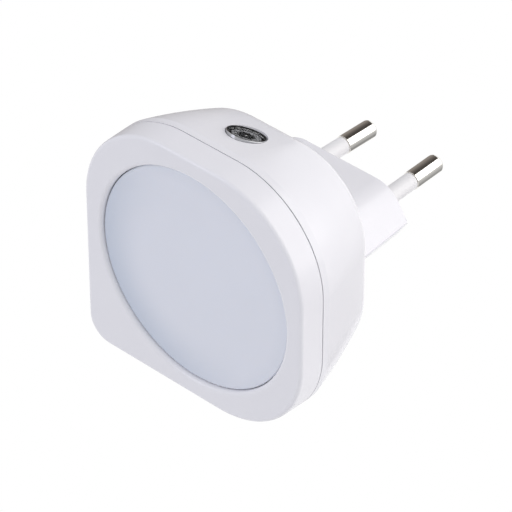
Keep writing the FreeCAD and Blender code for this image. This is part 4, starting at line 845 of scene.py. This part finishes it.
def board(name, mask_colour, copper_colour, laminate):
    """Solder mask over tracks and weave, tinned pads, and bare laminate on the edges."""
    material, tree, shader = new_material(name)
    where = tree.nodes.new("ShaderNodeTexCoord")
    place = where.outputs["Object"]
    level = tracks(tree, place, 0, 0.37)
    upright = tracks(tree, place, math.radians(90), 0.43)
    share = remap(tree, noise(tree, place, PATCH_SCALE, 1), 0.49, 0.51)
    copper = mix_colours(tree, share, level, upright)
    cells = tree.nodes.new("ShaderNodeTexVoronoi")
    cells.inputs["Scale"].default_value = PAD_CELLS
    tree.links.new(place, cells.inputs["Vector"])
    pad_edge = PAD_RADIUS * PAD_CELLS
    pads = remap(tree, cells.outputs["Distance"], pad_edge, pad_edge * 0.85)
    weave = noise(tree, place, WEAVE_SCALE, 2)
    shade = mix_colours(tree, weave, tuple(part * 0.88 for part in mask_colour), mask_colour)
    colour = mix_colours(tree, copper, shade, copper_colour)
    colour = mix_colours(tree, pads, colour, PAD_TIN)
    split = tree.nodes.new("ShaderNodeSeparateXYZ")
    tree.links.new(where.outputs["Normal"], split.inputs[0])
    facing = remap(tree, calculate(tree, "ABSOLUTE", split.outputs["Y"]), 0.5, 0.6)
    colour = mix_colours(tree, facing, laminate, colour)
    tree.links.new(colour, shader.inputs["Base Color"])
    tree.links.new(remap(tree, weave, 0.3, 0.7, 0.28, 0.4), shader.inputs["Roughness"])
    height = calculate(tree, "ADD", calculate(tree, "MAXIMUM", copper, pads),
                       calculate(tree, "MULTIPLY", weave, 0.2))
    bump(tree, shader, height, 0.4, PART_RELIEF)
    return material


dress(board("driver_mask", (0.03, 0.20, 0.09), (0.08, 0.33, 0.15), (0.52, 0.47, 0.28)),
      "driver_board")
dress(board("lamp_mask", (0.86, 0.86, 0.84), (0.80, 0.79, 0.76), (0.60, 0.56, 0.42)),
      "led_board")

# %% [markdown]
# The small parts take their marks from where they are: phosphor in the lamps' wells, tin on the
# ends of the chips and on every leg, and an aluminium top on the capacitor can. Each mark is a
# mask over one of the piece's own coordinates.

# %% Board parts
X, Y, Z = 1, 2, 3
TIN = (0.74, 0.74, 0.72)
ALUMINIUM = (0.78, 0.78, 0.77)
PHOSPHOR = (0.92, 0.74, 0.16)
MARK_EDGE = 0.03 * MM
PART_DRIFT, PART_PEEL = 300.0, 0.1
WELL_DEPTH = 0.15 * MM
CHIP_END = 1.2 * MM
BRIDGE_EDGE = 2.02 * MM
TRANSISTOR_FOOT = 1.78 * MM
CAN_TOP = 2.4 * MM
FILM_BASE = 1.8 * MM


def marked(name, base, mark, mask, roughness=(0.35, 0.5), peel_scale=1500.0, metallic_mark=False):
    """A moulded part with a second finish where the mask, made from its own frame, is 1."""
    material, tree, shader = new_material(name)
    skin = place_group(tree, moulded_skin, Light_Colour=base,
                       Dark_Colour=tuple(part * 0.8 for part in base),
                       Drift_Scale=PART_DRIFT, Peel_Scale=peel_scale,
                       Roughness_Low=roughness[0], Roughness_High=roughness[1])
    factor = mask(tree)
    colour = mix_colours(tree, factor, skin["Colour"], mark)
    tree.links.new(colour, shader.inputs["Base Color"])
    tree.links.new(skin["Roughness"], shader.inputs["Roughness"])
    if metallic_mark:
        tree.links.new(factor, shader.inputs["Metallic"])
    bump(tree, shader, skin["Height"], PART_PEEL, PART_RELIEF)
    return material


def beyond(centre, axis, limit, towards=1):
    """A mask that is 1 past a limit along one axis of the piece, on one side or on both."""
    def mask(tree):
        value = own_frame(tree, centre)[axis]
        if towards == 0:
            value = calculate(tree, "ABSOLUTE", value)
        elif towards < 0:
            value = calculate(tree, "MULTIPLY", value, -1.0)
        return remap(tree, value, limit - MARK_EDGE, limit + MARK_EDGE)
    return mask


def in_wells(tree):
    """A mask of the wells' floors: behind the packages' face, and facing forwards."""
    lamp_face = Vector((0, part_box("led_packages")[0].y, 0))
    deep = beyond(lamp_face, Y, WELL_DEPTH)(tree)
    normal = tree.nodes.new("ShaderNodeSeparateXYZ")
    tree.links.new(tree.nodes.new("ShaderNodeTexCoord").outputs["Normal"], normal.inputs[0])
    forwards = calculate(tree, "MULTIPLY", normal.outputs["Y"], -1.0)
    return calculate(tree, "MULTIPLY", deep, remap(tree, forwards, 0.8, 0.9))


dress(marked("lamp_phosphor", (0.88, 0.88, 0.86), PHOSPHOR, in_wells, peel_scale=4000.0),
      "led_packages")

TINNED_PARTS = {
    "chip_resistors": ("chip_black", (0.03, 0.03, 0.032), Z, CHIP_END, 0),
    "bridge_rectifier": ("bridge_black", (0.03, 0.03, 0.032), Z, BRIDGE_EDGE, 0),
    "switching_transistor": ("transistor_black", (0.028, 0.028, 0.03), Y, TRANSISTOR_FOOT, 1)}
for piece, (name, body, axis, limit, towards) in TINNED_PARTS.items():
    legs = beyond(middle_of(piece), axis, limit, towards)
    dress(marked(name, body, TIN, legs, metallic_mark=True), piece)

can_top = beyond(middle_of("electrolytic_capacitor"), Y, CAN_TOP, -1)
dress(marked("can_sleeve", (0.03, 0.03, 0.05), ALUMINIUM, can_top, roughness=(0.2, 0.3),
             metallic_mark=True), "electrolytic_capacitor")
film_base = beyond(middle_of("film_capacitor"), Y, FILM_BASE)
dress(marked("film_red", (0.60, 0.08, 0.05), (0.42, 0.05, 0.03), film_base, roughness=(0.12, 0.22),
             peel_scale=500.0), "film_capacitor")

# %% [markdown]
# The resistor is a lacquered rod with colour rings round it and tinned ends. The band mask finds
# each ring along the rod, one pitch after another.

# %% Colour rings of the resistor
RING_COLOURS = [(0.35, 0.14, 0.04), (0.02, 0.02, 0.02), (0.02, 0.02, 0.02), (0.62, 0.45, 0.10)]
RING_PITCH = 1.5 * MM
RING_WIDTH = 0.6 * MM
FUSE_END = 4.28 * MM


def resistor():
    """Lacquer, colour rings and tinned ends."""
    material, tree, shader = new_material("resistor_rings")
    centre = middle_of("fusible_resistor")
    skin = place_group(tree, moulded_skin, Light_Colour=(0.34, 0.55, 0.55),
                       Dark_Colour=(0.28, 0.47, 0.47), Drift_Scale=PART_DRIFT, Peel_Scale=1800.0,
                       Roughness_Low=0.3, Roughness_High=0.45)
    _, x, _, _ = own_frame(tree, centre)
    colour = skin["Colour"]
    for index, ring_colour in enumerate(RING_COLOURS):
        start = (index - len(RING_COLOURS) / 2) * RING_PITCH
        ring = place_group(tree, band_mask, Value=x, Low=start, High=start + RING_WIDTH)["Mask"]
        colour = mix_colours(tree, ring, colour, ring_colour)
    ends = beyond(centre, X, FUSE_END, 0)(tree)
    colour = mix_colours(tree, ends, colour, TIN)
    tree.links.new(colour, shader.inputs["Base Color"])
    tree.links.new(ends, shader.inputs["Metallic"])
    tree.links.new(skin["Roughness"], shader.inputs["Roughness"])
    bump(tree, shader, skin["Height"], 0.15, PART_RELIEF)
    return material


dress(resistor(), "fusible_resistor")

# %% [markdown]
# Each wire has coloured insulation and two stripped ends, where the tinned strands show.

# %% Wires
WIRE_COLOURS = {"live_wire": (0.22, 0.10, 0.05), "neutral_wire": (0.05, 0.15, 0.50),
                "lamp_wire_positive": (0.60, 0.03, 0.03),
                "lamp_wire_negative": (0.025, 0.025, 0.028)}
BARE_END = 0.8 * MM

for name, colour in WIRE_COLOURS.items():
    low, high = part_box(name)
    bare = beyond(middle_of(name), Y, (high.y - low.y) / 2 - BARE_END, 0)
    dress(marked(f"{name}_insulation", colour, TIN, bare, peel_scale=2500.0, metallic_mark=True),
          name)
print("materials:", len(bpy.data.materials))

# %% [markdown]
# Both boxes are measured, and the amount by which the visual model's box differs from the
# imported one's is printed.

# %% Finish
new_low, new_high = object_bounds()
growth = (new_high - new_low) - (cad_high - cad_low)
print("visual box less packed box:", [round(value, 6) for value in growth])
